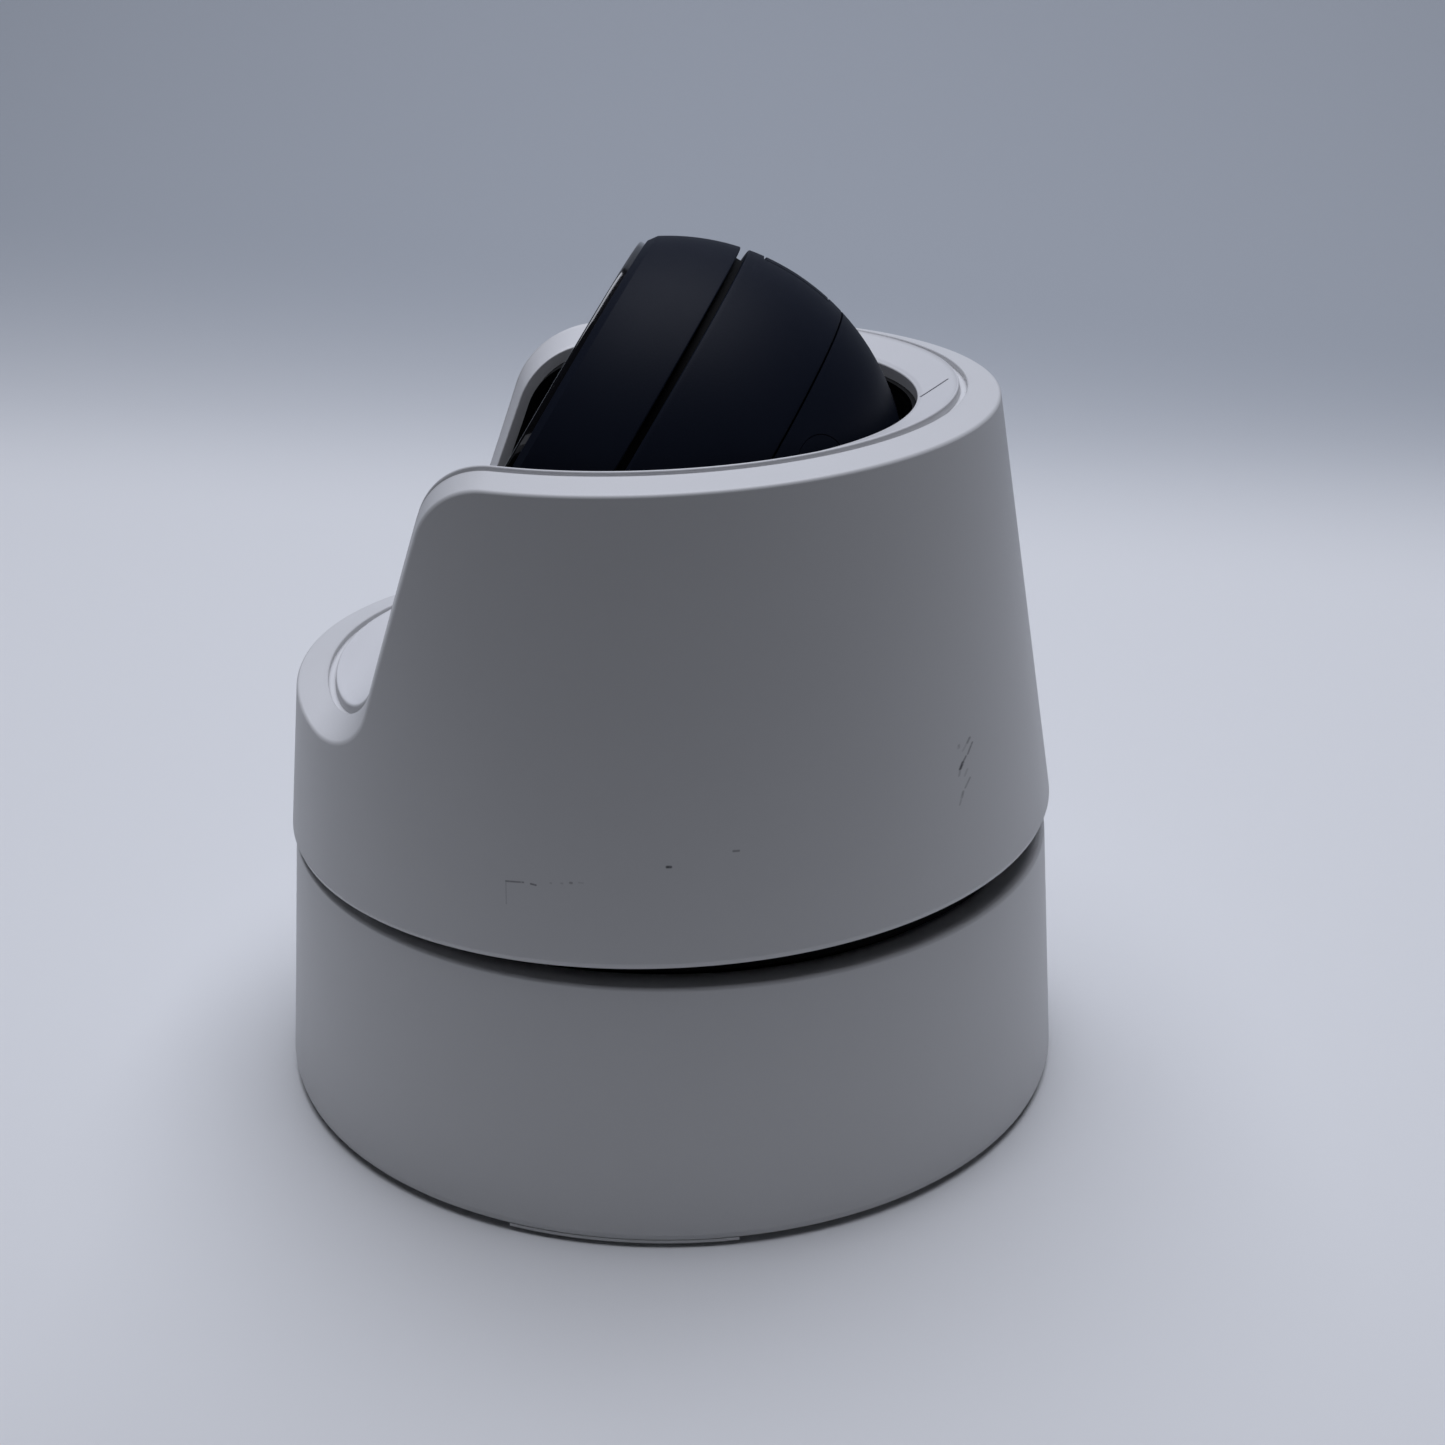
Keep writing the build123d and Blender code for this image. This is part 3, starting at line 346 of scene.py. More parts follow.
@dataclass(frozen=True)
class ScuffedPlastic(MouldedPlastic):
    """The same moulded plastic with a few dark scratches and specks from handling."""

    strokes: tuple[Stroke, ...] = ()
    mark: Colour = (0.07, 0.07, 0.08)
    mark_rough: float = 0.2
    mark_deep: float = 2.0

    def _surface(self, recipe: Recipe, colour: Wire, rough: Wire, relief: Wire) -> None:
        """Give the surface its colour, roughness and relief, with the scratches cut in.

        Args:
            recipe: the material's recipe.
            colour: the clean plastic's colour.
            rough: its roughness.
            relief: height of its grain, 0 to 1.
        """
        axes = recipe.axes()
        worn: Union[Wire, float] = 0.0
        for stroke in self.strokes:
            worn = stroke.mask(*axes).at_least(worn)
        broken = recipe.noise(0.0005, 2.0, 0.7).above(0.36, 0.25)
        worn = worn * (broken * 0.6 + 0.4)
        super()._surface(recipe, recipe.blend(worn, colour, self.mark), rough + worn * self.mark_rough,
                         relief - worn * self.mark_deep)


# High up towards the back of the wall, then along its lower half, then just over the rim.
SCRATCHES = (
    Stroke((45.36, 68.5), (45.36, 68.2), 0.35, 0.35),
    Stroke((46.88, 68.8), (46.6, 68.3), 0.35, 0.5), Stroke((46.6, 68.3), (46.0, 67.5), 0.3, 0.2),
    Stroke((47.3, 67.95), (46.74, 66.7), 0.28, 0.55),
    Stroke((46.45, 66.45), (46.05, 65.8), 0.3, 0.6), Stroke((46.05, 65.8), (45.75, 65.1), 0.4, 0.95),
    Stroke((45.75, 65.1), (45.62, 64.2), 0.3, 0.3),
    Stroke((46.75, 64.5), (46.45, 63.8), 0.3, 0.22),
    Stroke((47.2, 63.1), (46.6, 62.05), 0.28, 0.4),
    Stroke((46.3, 61.6), (46.15, 60.9), 0.34, 0.42), Stroke((46.15, 60.9), (45.9, 60.0), 0.26, 0.3),
    Stroke((-16.03, 51.9), (-16.04, 55.2), 0.14, 0.3), Stroke((-16.04, 55.2), (-13.5, 55.45), 0.24, 0.6),
    Stroke((-12.4, 55.4), (-11.7, 55.32), 0.26, 0.7),
    Stroke((-9.6, 55.9), (-9.5, 55.9), 0.26, 0.25), Stroke((-8.1, 56.05), (-7.9, 56.05), 0.24, 0.25),
    Stroke((-6.8, 56.25), (-6.6, 56.25), 0.32, 0.5), Stroke((-5.6, 56.4), (-5.0, 56.4), 0.2, 0.2),
    Stroke((6.45, 59.13), (6.95, 59.13), 0.36, 0.95), Stroke((15.3, 61.0), (16.0, 61.0), 0.3, 0.55),
    Stroke((-26.6, 42.6), (-25.2, 42.7), 0.3, 0.5), Stroke((-18.9, 43.0), (-15.0, 43.1), 0.2, 0.5),
)


@dataclass(frozen=True)
class DullRubber:
    """Black rubber with a soft grain and a little dust."""

    name: str
    colour: Colour = (0.02, 0.02, 0.022)

    def build(self) -> bpy.types.Material:
        """Make the material."""
        recipe = Recipe(self.name)
        dust = recipe.noise(0.003, 5.0, 0.65).above(0.62, 0.2)
        recipe.set(Base_Color=recipe.blend(dust * 0.25, self.colour, (0.16, 0.16, 0.17)))
        recipe.set(Roughness=dust * 0.15 + 0.7)
        recipe.set(Specular_IOR_Level=0.3)
        recipe.set(Normal=recipe.bump(recipe.noise(0.0003, 2.0), 0.00002))
        return recipe.material


@dataclass(frozen=True)
class Metal:
    """Metal with a brushed, cast or polished surface."""

    name: str
    colour: Colour
    roughness: float
    brushed: float = 1.0
    grain_depth: float = 0.000008

    def build(self) -> bpy.types.Material:
        """Make the material."""
        recipe = Recipe(self.name)
        streak = recipe.noise(0.0004, 3.0, 0.6, (1.0, 1.0, self.brushed))
        patch = recipe.noise(0.009, 3.0)
        dark = tuple(c * 0.82 for c in self.colour)
        recipe.set(Base_Color=recipe.blend(patch, dark, self.colour))
        recipe.set(Metallic=1.0)
        recipe.set(Roughness=recipe.around(self.roughness, (streak, 0.12), (patch, 0.06)))
        recipe.set(Normal=recipe.bump(streak, self.grain_depth))
        return recipe.material


@dataclass(frozen=True)
class CircuitBoard:
    """Green solder mask with tracks and pads under it."""

    name: str = "circuit_board"
    colour: Colour = (0.012, 0.085, 0.04)

    def build(self) -> bpy.types.Material:
        """Make the material."""
        recipe = Recipe(self.name)
        where = recipe.node("Mapping", inputs={"Vector": recipe.place(), "Scale": (1, 1, 0.2)})
        cells = recipe.node("TexVoronoi", {"feature": "DISTANCE_TO_EDGE", "distance": "CHEBYCHEV"},
                            {"Vector": where, "Scale": 420.0})
        track = cells.below(0.09, 0.03)
        recipe.set(Base_Color=recipe.blend(track * 0.7, self.colour, (0.03, 0.17, 0.07)))
        recipe.set(Roughness=recipe.noise(0.002, 3.0) * 0.1 + 0.28)
        recipe.set(Coat_Weight=0.3)
        recipe.set(Normal=recipe.bump(track, 0.00003))
        return recipe.material


@dataclass(frozen=True)
class ClearPart:
    """Glass or clear acrylic, with a coating tint and faint dust."""

    name: str
    colour: Colour
    roughness: float = 0.03
    ior: float = 1.5
    dust: float = 0.1

    def build(self) -> bpy.types.Material:
        """Make the material."""
        recipe = Recipe(self.name)
        specks = recipe.noise(0.0008, 4.0, 0.7).above(0.68, 0.12)
        recipe.set(Base_Color=recipe.blend(specks * self.dust, self.colour, (0.8, 0.8, 0.8)))
        recipe.set(Roughness=specks * self.dust + self.roughness)
        recipe.set(Transmission_Weight=1.0)
        recipe.set(IOR=self.ior)
        return recipe.material


@dataclass(frozen=True)
class PolishedDark:
    """Smoked polished plastic with faint dust."""

    name: str
    colour: Colour = (0.006, 0.006, 0.008)

    def build(self) -> bpy.types.Material:
        """Make the material."""
        recipe = Recipe(self.name)
        specks = recipe.noise(0.0009, 4.0, 0.7).above(0.7, 0.1)
        recipe.set(Base_Color=recipe.blend(specks * 0.15, self.colour, (0.3, 0.3, 0.3)))
        recipe.set(Roughness=specks * 0.2 + recipe.noise(0.01, 2.0) * 0.04 + 0.06)
        recipe.set(Coat_Weight=0.5)
        return recipe.material


# ---------------------------------------------------------------- mesh helpers
@dataclass(frozen=True)
class Corner:
    """One corner of a turned outline, in millimetres, with the round that breaks its edge."""

    radius: float
    height: float
    round: float = 0.0


def lathe(corners: Sequence[Corner], steps: int = 192, closed: bool = True) -> bmesh.types.BMesh:
    """Spin an outline round the Z axis and round its edges.

    Args:
        corners: the outline, in order.
        steps: faces round the axis.
        closed: whether the outline's last corner joins its first.

    Returns:
        The turned mesh, in metres.
    """
    mesh = bmesh.new()
    line = [mesh.verts.new((c.radius * MM, 0.0, c.height * MM)) for c in corners]
    pairs = list(zip(line, line[1:])) + ([(line[-1], line[0])] if closed else [])
    edges = [mesh.edges.new(pair) for pair in pairs]
    bmesh.ops.spin(mesh, geom=[*line, *edges], axis=(0, 0, 1), cent=(0, 0, 0),
                   angle=math.tau, steps=steps, use_merge=True)
    bmesh.ops.remove_doubles(mesh, verts=mesh.verts, dist=0.002 * MM)
    bmesh.ops.recalc_face_normals(mesh, faces=mesh.faces)
    for corner in corners:
        if corner.round:
            ring = [e for e in mesh.edges if all(_at_corner(v.co, corner) for v in e.verts)]
            bmesh.ops.bevel(mesh, geom=ring, offset=corner.round * MM, offset_type="OFFSET", segments=3,
                            profile=0.5, affect="EDGES", clamp_overlap=False, material=-1)
    return mesh


def _at_corner(point: Vector, corner: Corner) -> bool:
    """Whether a point lies on the circle that a corner sweeps."""
    off = math.hypot(math.hypot(point.x, point.y) - corner.radius * MM, point.z - corner.height * MM)
    return off < 0.003 * MM


def ball_arc(radius: float, low: float, high: float, count: int) -> list[Corner]:
    """Corners along a sphere between two heights.

    Args:
        radius: the sphere's radius.
        low: the first height.
        high: the last height.
        count: how many corners.

    Returns:
        The corners, evenly spaced by angle, both ends included.
    """
    start, end = math.asin(low / radius), math.asin(high / radius)
    turns = [start + (end - start) * i / (count - 1) for i in range(count)]
    return [Corner(radius * math.cos(t), radius * math.sin(t)) for t in turns]


class Body(Enum):
    """The moving bodies that new pieces ride on."""

    BASE = "base"
    TURRET = "turret"
    HEAD = "head"


@dataclass(frozen=True)
class Job:
    """What a finished piece stands for and rides on."""

    name: str
    body: Body
    slot: str
    replaced: tuple[str, ...] = ()


def make_piece(job: Job, mesh: bmesh.types.BMesh, *dress: bpy.types.Material,
               place: Optional[Matrix] = None) -> bpy.types.Object:
    """Turn a bmesh into a riding object with its finish.

    Args:
        job: the piece's name, body, slot and the nodes that it replaces.
        mesh: the geometry; it is freed.
        dress: materials for the faces' material numbers.
        place: where the mesh goes in the object's frame.

    Returns:
        The new object.
    """
    if place is not None:
        bmesh.ops.transform(mesh, matrix=place, verts=mesh.verts)
    for face in mesh.faces:
        face.smooth = True
    data = bpy.data.meshes.new(job.name)
    mesh.to_mesh(data)
    mesh.free()
    for finish in dress:
        data.materials.append(finish)
    data.set_sharp_from_angle(angle=math.radians(42))
    piece = bpy.data.objects.new(job.name, data)
    bpy.context.scene.collection.objects.link(piece)
    weighted = piece.modifiers.new("even_shading", "WEIGHTED_NORMAL")
    weighted.keep_sharp = True
    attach(piece, job.body.value)
    if job.replaced:
        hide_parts(*job.replaced)
    LOG.info("%s: %d faces on %s", job.name, len(data.polygons), job.body.value)
    return piece


# ---------------------------------------------------------------- turret
@dataclass(frozen=True)
class Saddle:
    """The turret's tapered cone and the saddle outline that cuts it, in millimetres.

    Heights are above the rim and the front is towards the lens, in the shell's leaning frame.
    """

    rim_r: float = 60.9
    taper: float = 0.1331
    height: float = 65.4
    ear_front: float = 24.4
    ear_slope: float = math.radians(20.66)
    ledge_h: float = 21.95
    ledge_slope: float = math.radians(8.53)
    ear_round: float = 12.0
    ledge_round: float = 11.0

    def radius(self, height: float) -> float:
        """Outer radius of the cone at a height."""
        return self.rim_r - self.taper * height

    def surface(self, front: float, drop: float) -> float:
        """Height of the outline over a place, lowered square to itself.

        Args:
            front: how far towards the lens the place is.
            drop: how far the outline is lowered.

        Returns:
            The height above the rim.
        """
        ear_n = (math.cos(self.ear_slope), math.sin(self.ear_slope))
        ledge_n = (-math.sin(self.ledge_slope), math.cos(self.ledge_slope))
        ear_c = self.ear_front * ear_n[0] + self.height * ear_n[1]
        foot = self.ear_front + (self.height - self.ledge_h) * math.tan(self.ear_slope)
        ledge_c = foot * ledge_n[0] + self.ledge_h * ledge_n[1]
        round_h = self.height - self.ear_round
        round_f = (ear_c - self.ear_round - round_h * ear_n[1]) / ear_n[0]
        if front <= round_f:
            return self.height - drop
        small = self.ear_round - drop
        if front <= round_f + small * ear_n[0]:
            return round_h + math.sqrt(max(small ** 2 - (front - round_f) ** 2, 0.0))
        cross = ear_n[0] * ledge_n[1] - ear_n[1] * ledge_n[0]
        ear_far, ledge_far = ear_c + self.ledge_round, ledge_c + self.ledge_round
        hollow_f = (ear_far * ledge_n[1] - ledge_far * ear_n[1]) / cross
        hollow_h = (ledge_far * ear_n[0] - ear_far * ledge_n[0]) / cross
        large = self.ledge_round + drop
        if front <= hollow_f - large * ear_n[0]:
            return (ear_c - drop - front * ear_n[0]) / ear_n[1]
        if front <= hollow_f - large * ledge_n[0]:
            return hollow_h - math.sqrt(max(large ** 2 - (front - hollow_f) ** 2, 0.0))
        return (ledge_c - drop - front * ledge_n[0]) / ledge_n[1]

    def rim_point(self, turn: float, inset: float, drop: float) -> Point:
        """Where the lowered outline crosses the cone.

        Args:
            turn: angle from straight ahead, in radians.
            inset: how far inside the outer wall.
            drop: how far the outline is lowered.

        Returns:
            The place in the shell's frame.
        """
        height = self.height
        for _ in range(14):
            height = self.surface((self.radius(height) - inset) * math.cos(turn), drop)
        reach = self.radius(height) - inset
        return (reach * math.sin(turn), -reach * math.cos(turn), height)

    def opening_point(self, turn: float, reach: float, drop: float) -> Point:
        """A place on the lowered outline over a circle round the pan axis.

        Args:
            turn: angle from straight ahead, in radians.
            reach: the circle's radius.
            drop: how far the outline is lowered.

        Returns:
            The place in the shell's frame.
        """
        front = reach * math.cos(turn)
        return (reach * math.sin(turn), -front, self.surface(front, drop))

    @staticmethod
    def even_turns(curve: Callable[[float], Point], count: int) -> list[float]:
        """Angles that space a closed curve evenly along its length.

        Args:
            curve: gives a place from an angle, the same on both sides.
            count: an even number of places, the first at the back.

        Returns:
            The angles, from the back round by the right and left sides.
        """
        fine = 900
        turns = [math.pi * (1 - i / fine) for i in range(fine + 1)]
        places = [Vector(curve(t)) for t in turns]
        run = [0.0]
        for first, second in zip(places, places[1:]):
            run.append(run[-1] + (second - first).length)
        half, found, i = count // 2, [], 0
        for k in range(half + 1):
            goal = run[-1] * k / half
            while i < fine - 1 and run[i + 1] < goal:
                i += 1
            share = (goal - run[i]) / (run[i + 1] - run[i])
            found.append(turns[i] + (turns[i + 1] - turns[i]) * min(share, 1.0))
        return found + [-t for t in reversed(found[1:-1])]


class Loops:
    """A tube of loops, each extruded from the last and set in place by its own formula."""

    def __init__(self, first: Sequence[Point]) -> None:
        """Start from one loop of places in millimetres."""
        self.mesh = bmesh.new()
        self.station = self.mesh.verts.layers.int.new("station")
        made = bmesh.ops.create_circle(self.mesh, cap_ends=False, radius=1.0, segments=len(first))
        for i, vert in enumerate(made["verts"]):
            vert[self.station] = i
        self._put(made["verts"], first)
        self.edges = list(self.mesh.edges)

    def _put(self, verts: Iterable[bmesh.types.BMVert], places: Sequence[Point]) -> None:
        """Move vertices to their stations' places."""
        for vert in verts:
            vert.co = Vector(places[vert[self.station]]) * MM

    def add(self, places: Sequence[Point], material: int = 0) -> None:
        """Extrude one more loop.

        Args:
            places: where its vertices go, in millimetres.
            material: the material number of the new faces.
        """
        grown = bmesh.ops.extrude_edge_only(self.mesh, edges=self.edges)["geom"]
        self._put([g for g in grown if isinstance(g, bmesh.types.BMVert)], places)
        faces = [g for g in grown if isinstance(g, bmesh.types.BMFace)]
        for face in faces:
            face.material_index = material
        self.edges = [g for g in grown if isinstance(g, bmesh.types.BMEdge) and len(g.link_faces) == 1]

    def close(self) -> bmesh.types.BMesh:
        """Join the last loop to the first where they meet, and point the faces outwards.

        Returns:
            The finished mesh.
        """
        bmesh.ops.remove_doubles(self.mesh, verts=self.mesh.verts, dist=0.001 * MM)
        bmesh.ops.recalc_face_normals(self.mesh, faces=self.mesh.faces)
        return self.mesh


@dataclass
class Turret:
    """White saddle-shaped turret, in millimetres: its shell with the bevelled lip, and the inset liner."""

    white: bpy.types.Material
    liner: bpy.types.Material
    ink: bpy.types.Material
    saddle: Saddle = Saddle()
    rim_z: float = 44.1
    lean: float = math.radians(2.07)
    stations: int = 560
    wall: float = 2.6
    lip_w: float = 4.9
    lip_t: float = 3.0
    lip_outer: float = 0.3
    lip_rise: float = 1.2
    edge: float = 0.45
    lip_round: float = 0.3
    rim_chamfer: float = 0.3
    rim_bevel: float = 0.4
    rim_bevel_h: float = 0.85
    rim_step: float = 0.1
    rim_break: float = 0.06
    rim_inner: float = 0.4
    seam_lap: float = 0.03
    seam_w: float = 1.15
    seam_depth: float = 1.0
    liner_sink: float = -0.25
    liner_dish: float = 2.05
    liner_t: float = 2.0
    liner_round: float = 0.25
    opening_r: float = 39.8
    opening_round: float = 0.3
    index_length: float = 6.6
    index_w: float = 0.36
    index_t: float = 0.3
    index_proud: float = 0.03
    index_gap: float = 0.5
    index_x: float = 1.05
    index_turn: float = math.radians(52.0)

    def build(self) -> None:
        """Make both pieces and the index line."""
        self._shell()
        self._liner()
        self._index_line()

    @property
    def place(self) -> Matrix:
        """The shell's leaning frame."""
        return Matrix.Translation((0, 0, self.rim_z * MM)) @ Matrix.Rotation(self.lean, 4, "X")

    def _rim(self, inset: float, drop: float) -> list[Point]:
        """An evenly spaced loop where the lowered outline crosses the cone."""
        turns = self.saddle.even_turns(lambda t: self.saddle.rim_point(t, inset, drop), self.stations)
        return [self.saddle.rim_point(t, inset, drop) for t in turns]

    def _below(self, loop: Sequence[Point], inset: float, height: float) -> list[Point]:
        """A level loop straight below another, along the cone's own lines."""
        reach = self.saddle.radius(height) - inset
        return [(reach * x / math.hypot(x, y), reach * y / math.hypot(x, y), height) for x, y, _ in loop]

    def _lip_drop(self, inset: float) -> float:
        """How far the lip lies below the saddle outline at a distance from the outer wall."""
        return self.lip_outer - self.lip_rise * inset / self.lip_w

    @property
    def lip_top(self) -> float:
        """Drop of the lip's inner edge, which stands above the outline."""
        return self._lip_drop(self.lip_w)

    def _shell(self) -> None:
        """The outer wall, rounded lip, seam floor and inner wall, as one closed skin."""
        quarter = [math.pi / 2 * i / 5 for i in range(6)]
        top = self._rim(0.0, self._lip_drop(0.0) + self.edge)
        foot = [(self.wall, self.rim_inner), (self.wall - self.rim_chamfer, 0.0),
                (self.rim_bevel + 0.12, 0.0), (self.rim_bevel, 0.1),
                (self.rim_step, self.rim_bevel_h - self.rim_break),
                (self.rim_step, self.rim_bevel_h), (0.0, self.rim_bevel_h + self.rim_break),
                (0.0, self.rim_bevel_h + 0.5)]
        rings = [self._below(top, inset, height) for inset, height in foot]
        loops = Loops(rings[0])
        for ring in [*rings[1:], top]:
            loops.add(ring)
        for turn in quarter[1:]:
            inset = self.edge * (1 - math.cos(turn))
            loops.add(self._rim(inset, self._lip_drop(inset) + self.edge * (1 - math.sin(turn))))
        for share in (0.2, 0.4, 0.6, 0.8, 1.0):
            inset = self.edge + (self.lip_w - self.lip_round - self.edge) * share
            loops.add(self._rim(inset, self._lip_drop(inset)))
        for turn in quarter[1:]:
            loops.add(self._rim(self.lip_w - self.lip_round * (1 - math.sin(turn)),
                                self.lip_top + self.lip_round * (1 - math.cos(turn))))
        floor, seam_floor = self.lip_w + self.seam_w - self.seam_lap, self.lip_top + self.seam_depth
        for inset, drop in ((self.lip_w, seam_floor), (floor, seam_floor), (floor, self.lip_t)):
            loops.add(self._rim(inset, drop))
        for share in (0.33, 0.67, 1.0):
            loops.add(self._rim(floor + (self.wall - floor) * share, self.lip_t))
        loops.add(rings[0])
        make_piece(Job("turret_skin", Body.TURRET, "white_case", ("turret_shell",)), loops.close(),
                   self.white, place=self.place)

    def _liner_place(self, share: float, depth: float, turns: Sequence[tuple[float, float]],
                     edge: float = 0.0, hole: float = 0.0) -> list[Point]:
        """A loop on the liner between its outer edge and the opening.

        Args:
            share: 0 at the outer edge, 1 at the opening.
            depth: how far it lies below the liner's dished face.
            turns: matching angles at the outer edge and the opening.
            edge: how far the outer edge draws in.
            hole: how far the opening widens.

        Returns:
            The loop's places.
        """
        inset, places = self.lip_w + self.seam_w + edge, []
        drop = self.lip_top + self.liner_sink + self.liner_dish * share + depth
        for outer, inner in turns:
            first = Vector(self.saddle.rim_point(outer, inset, drop))
            last = Vector(self.saddle.opening_point(inner, self.opening_r + hole, drop))
            at = first.lerp(last, share)
            places.append((at.x, at.y, self.saddle.surface(-at.y, drop) if 0 < share < 1 else at.z))
        return places

    def _liner(self) -> None:
        """The inset panel that follows the saddle, with its round opening and broken edges."""
        saddle, inset = self.saddle, self.lip_w + self.seam_w
        outer = saddle.even_turns(lambda t: saddle.rim_point(t, inset, self.liner_sink), self.stations)
        inner = saddle.even_turns(lambda t: saddle.opening_point(t, self.opening_r, self.liner_sink),
                                  self.stations)
        turns = list(zip(outer, inner))
        quarter = [math.pi / 2 * i / 4 for i in range(5)]
        across = [i / 14 for i in range(1, 14)]
        loops = Loops(self._liner_place(0.0, self.liner_t, turns))
        loops.add(self._liner_place(0.0, self.liner_round, turns))
        for turn in quarter[1:]:
            loops.add(self._liner_place(0.0, self.liner_round * (1 - math.sin(turn)), turns,
                                        edge=self.liner_round * (1 - math.cos(turn))))
        for share in across:
            loops.add(self._liner_place(share, 0.0, turns))
        for turn in quarter:
            loops.add(self._liner_place(1.0, self.opening_round * (1 - math.cos(turn)), turns,
                                        hole=self.opening_round * (1 - math.sin(turn))))
        for share in (1.0, *reversed(across), 0.0):
            loops.add(self._liner_place(share, self.liner_t, turns))
        make_piece(Job("turret_panel", Body.TURRET, "white_liner", ("turret_liner",)), loops.close(),
                   self.liner, place=self.place)

    def _liner_top(self, reach: float) -> float:
        """Height of the rear of the liner's dished face at a distance from the pan axis."""
        outer = self.saddle.radius(self.saddle.height) - self.lip_w - self.seam_w
        share = (outer - reach) / (outer - self.opening_r)
        return self.saddle.height - self.lip_top - self.liner_sink - self.liner_dish * share

    def _index_line(self) -> None:
        """Fine dark line on the rear of the liner, let in flush and following its dish."""
        mesh = bmesh.new()
        bmesh.ops.create_cube(mesh, size=1.0)
        size = Vector((self.index_w, self.index_length, self.index_t)) * MM
        bmesh.ops.scale(mesh, vec=size, verts=mesh.verts)
        bmesh.ops.translate(mesh, vec=(0, self.index_length / 2 * MM, 0), verts=mesh.verts)
        long = [e for e in mesh.edges if abs(e.verts[0].co.y - e.verts[1].co.y) > self.index_w * MM]
        bmesh.ops.subdivide_edges(mesh, edges=long, cuts=10)
        spot = Matrix.Translation((self.index_x * MM, (self.opening_r + self.index_gap) * MM, 0))
        bmesh.ops.transform(mesh, matrix=spot @ Matrix.Rotation(self.index_turn, 4, "Z"), verts=mesh.verts)
        for vert in mesh.verts:
            reach = math.hypot(vert.co.x, vert.co.y) / MM
            vert.co.z += (self._liner_top(reach) + self.index_proud - self.index_t / 2) * MM
        make_piece(Job("index_mark", Body.TURRET, "white_liner"), mesh, self.ink, place=self.place)


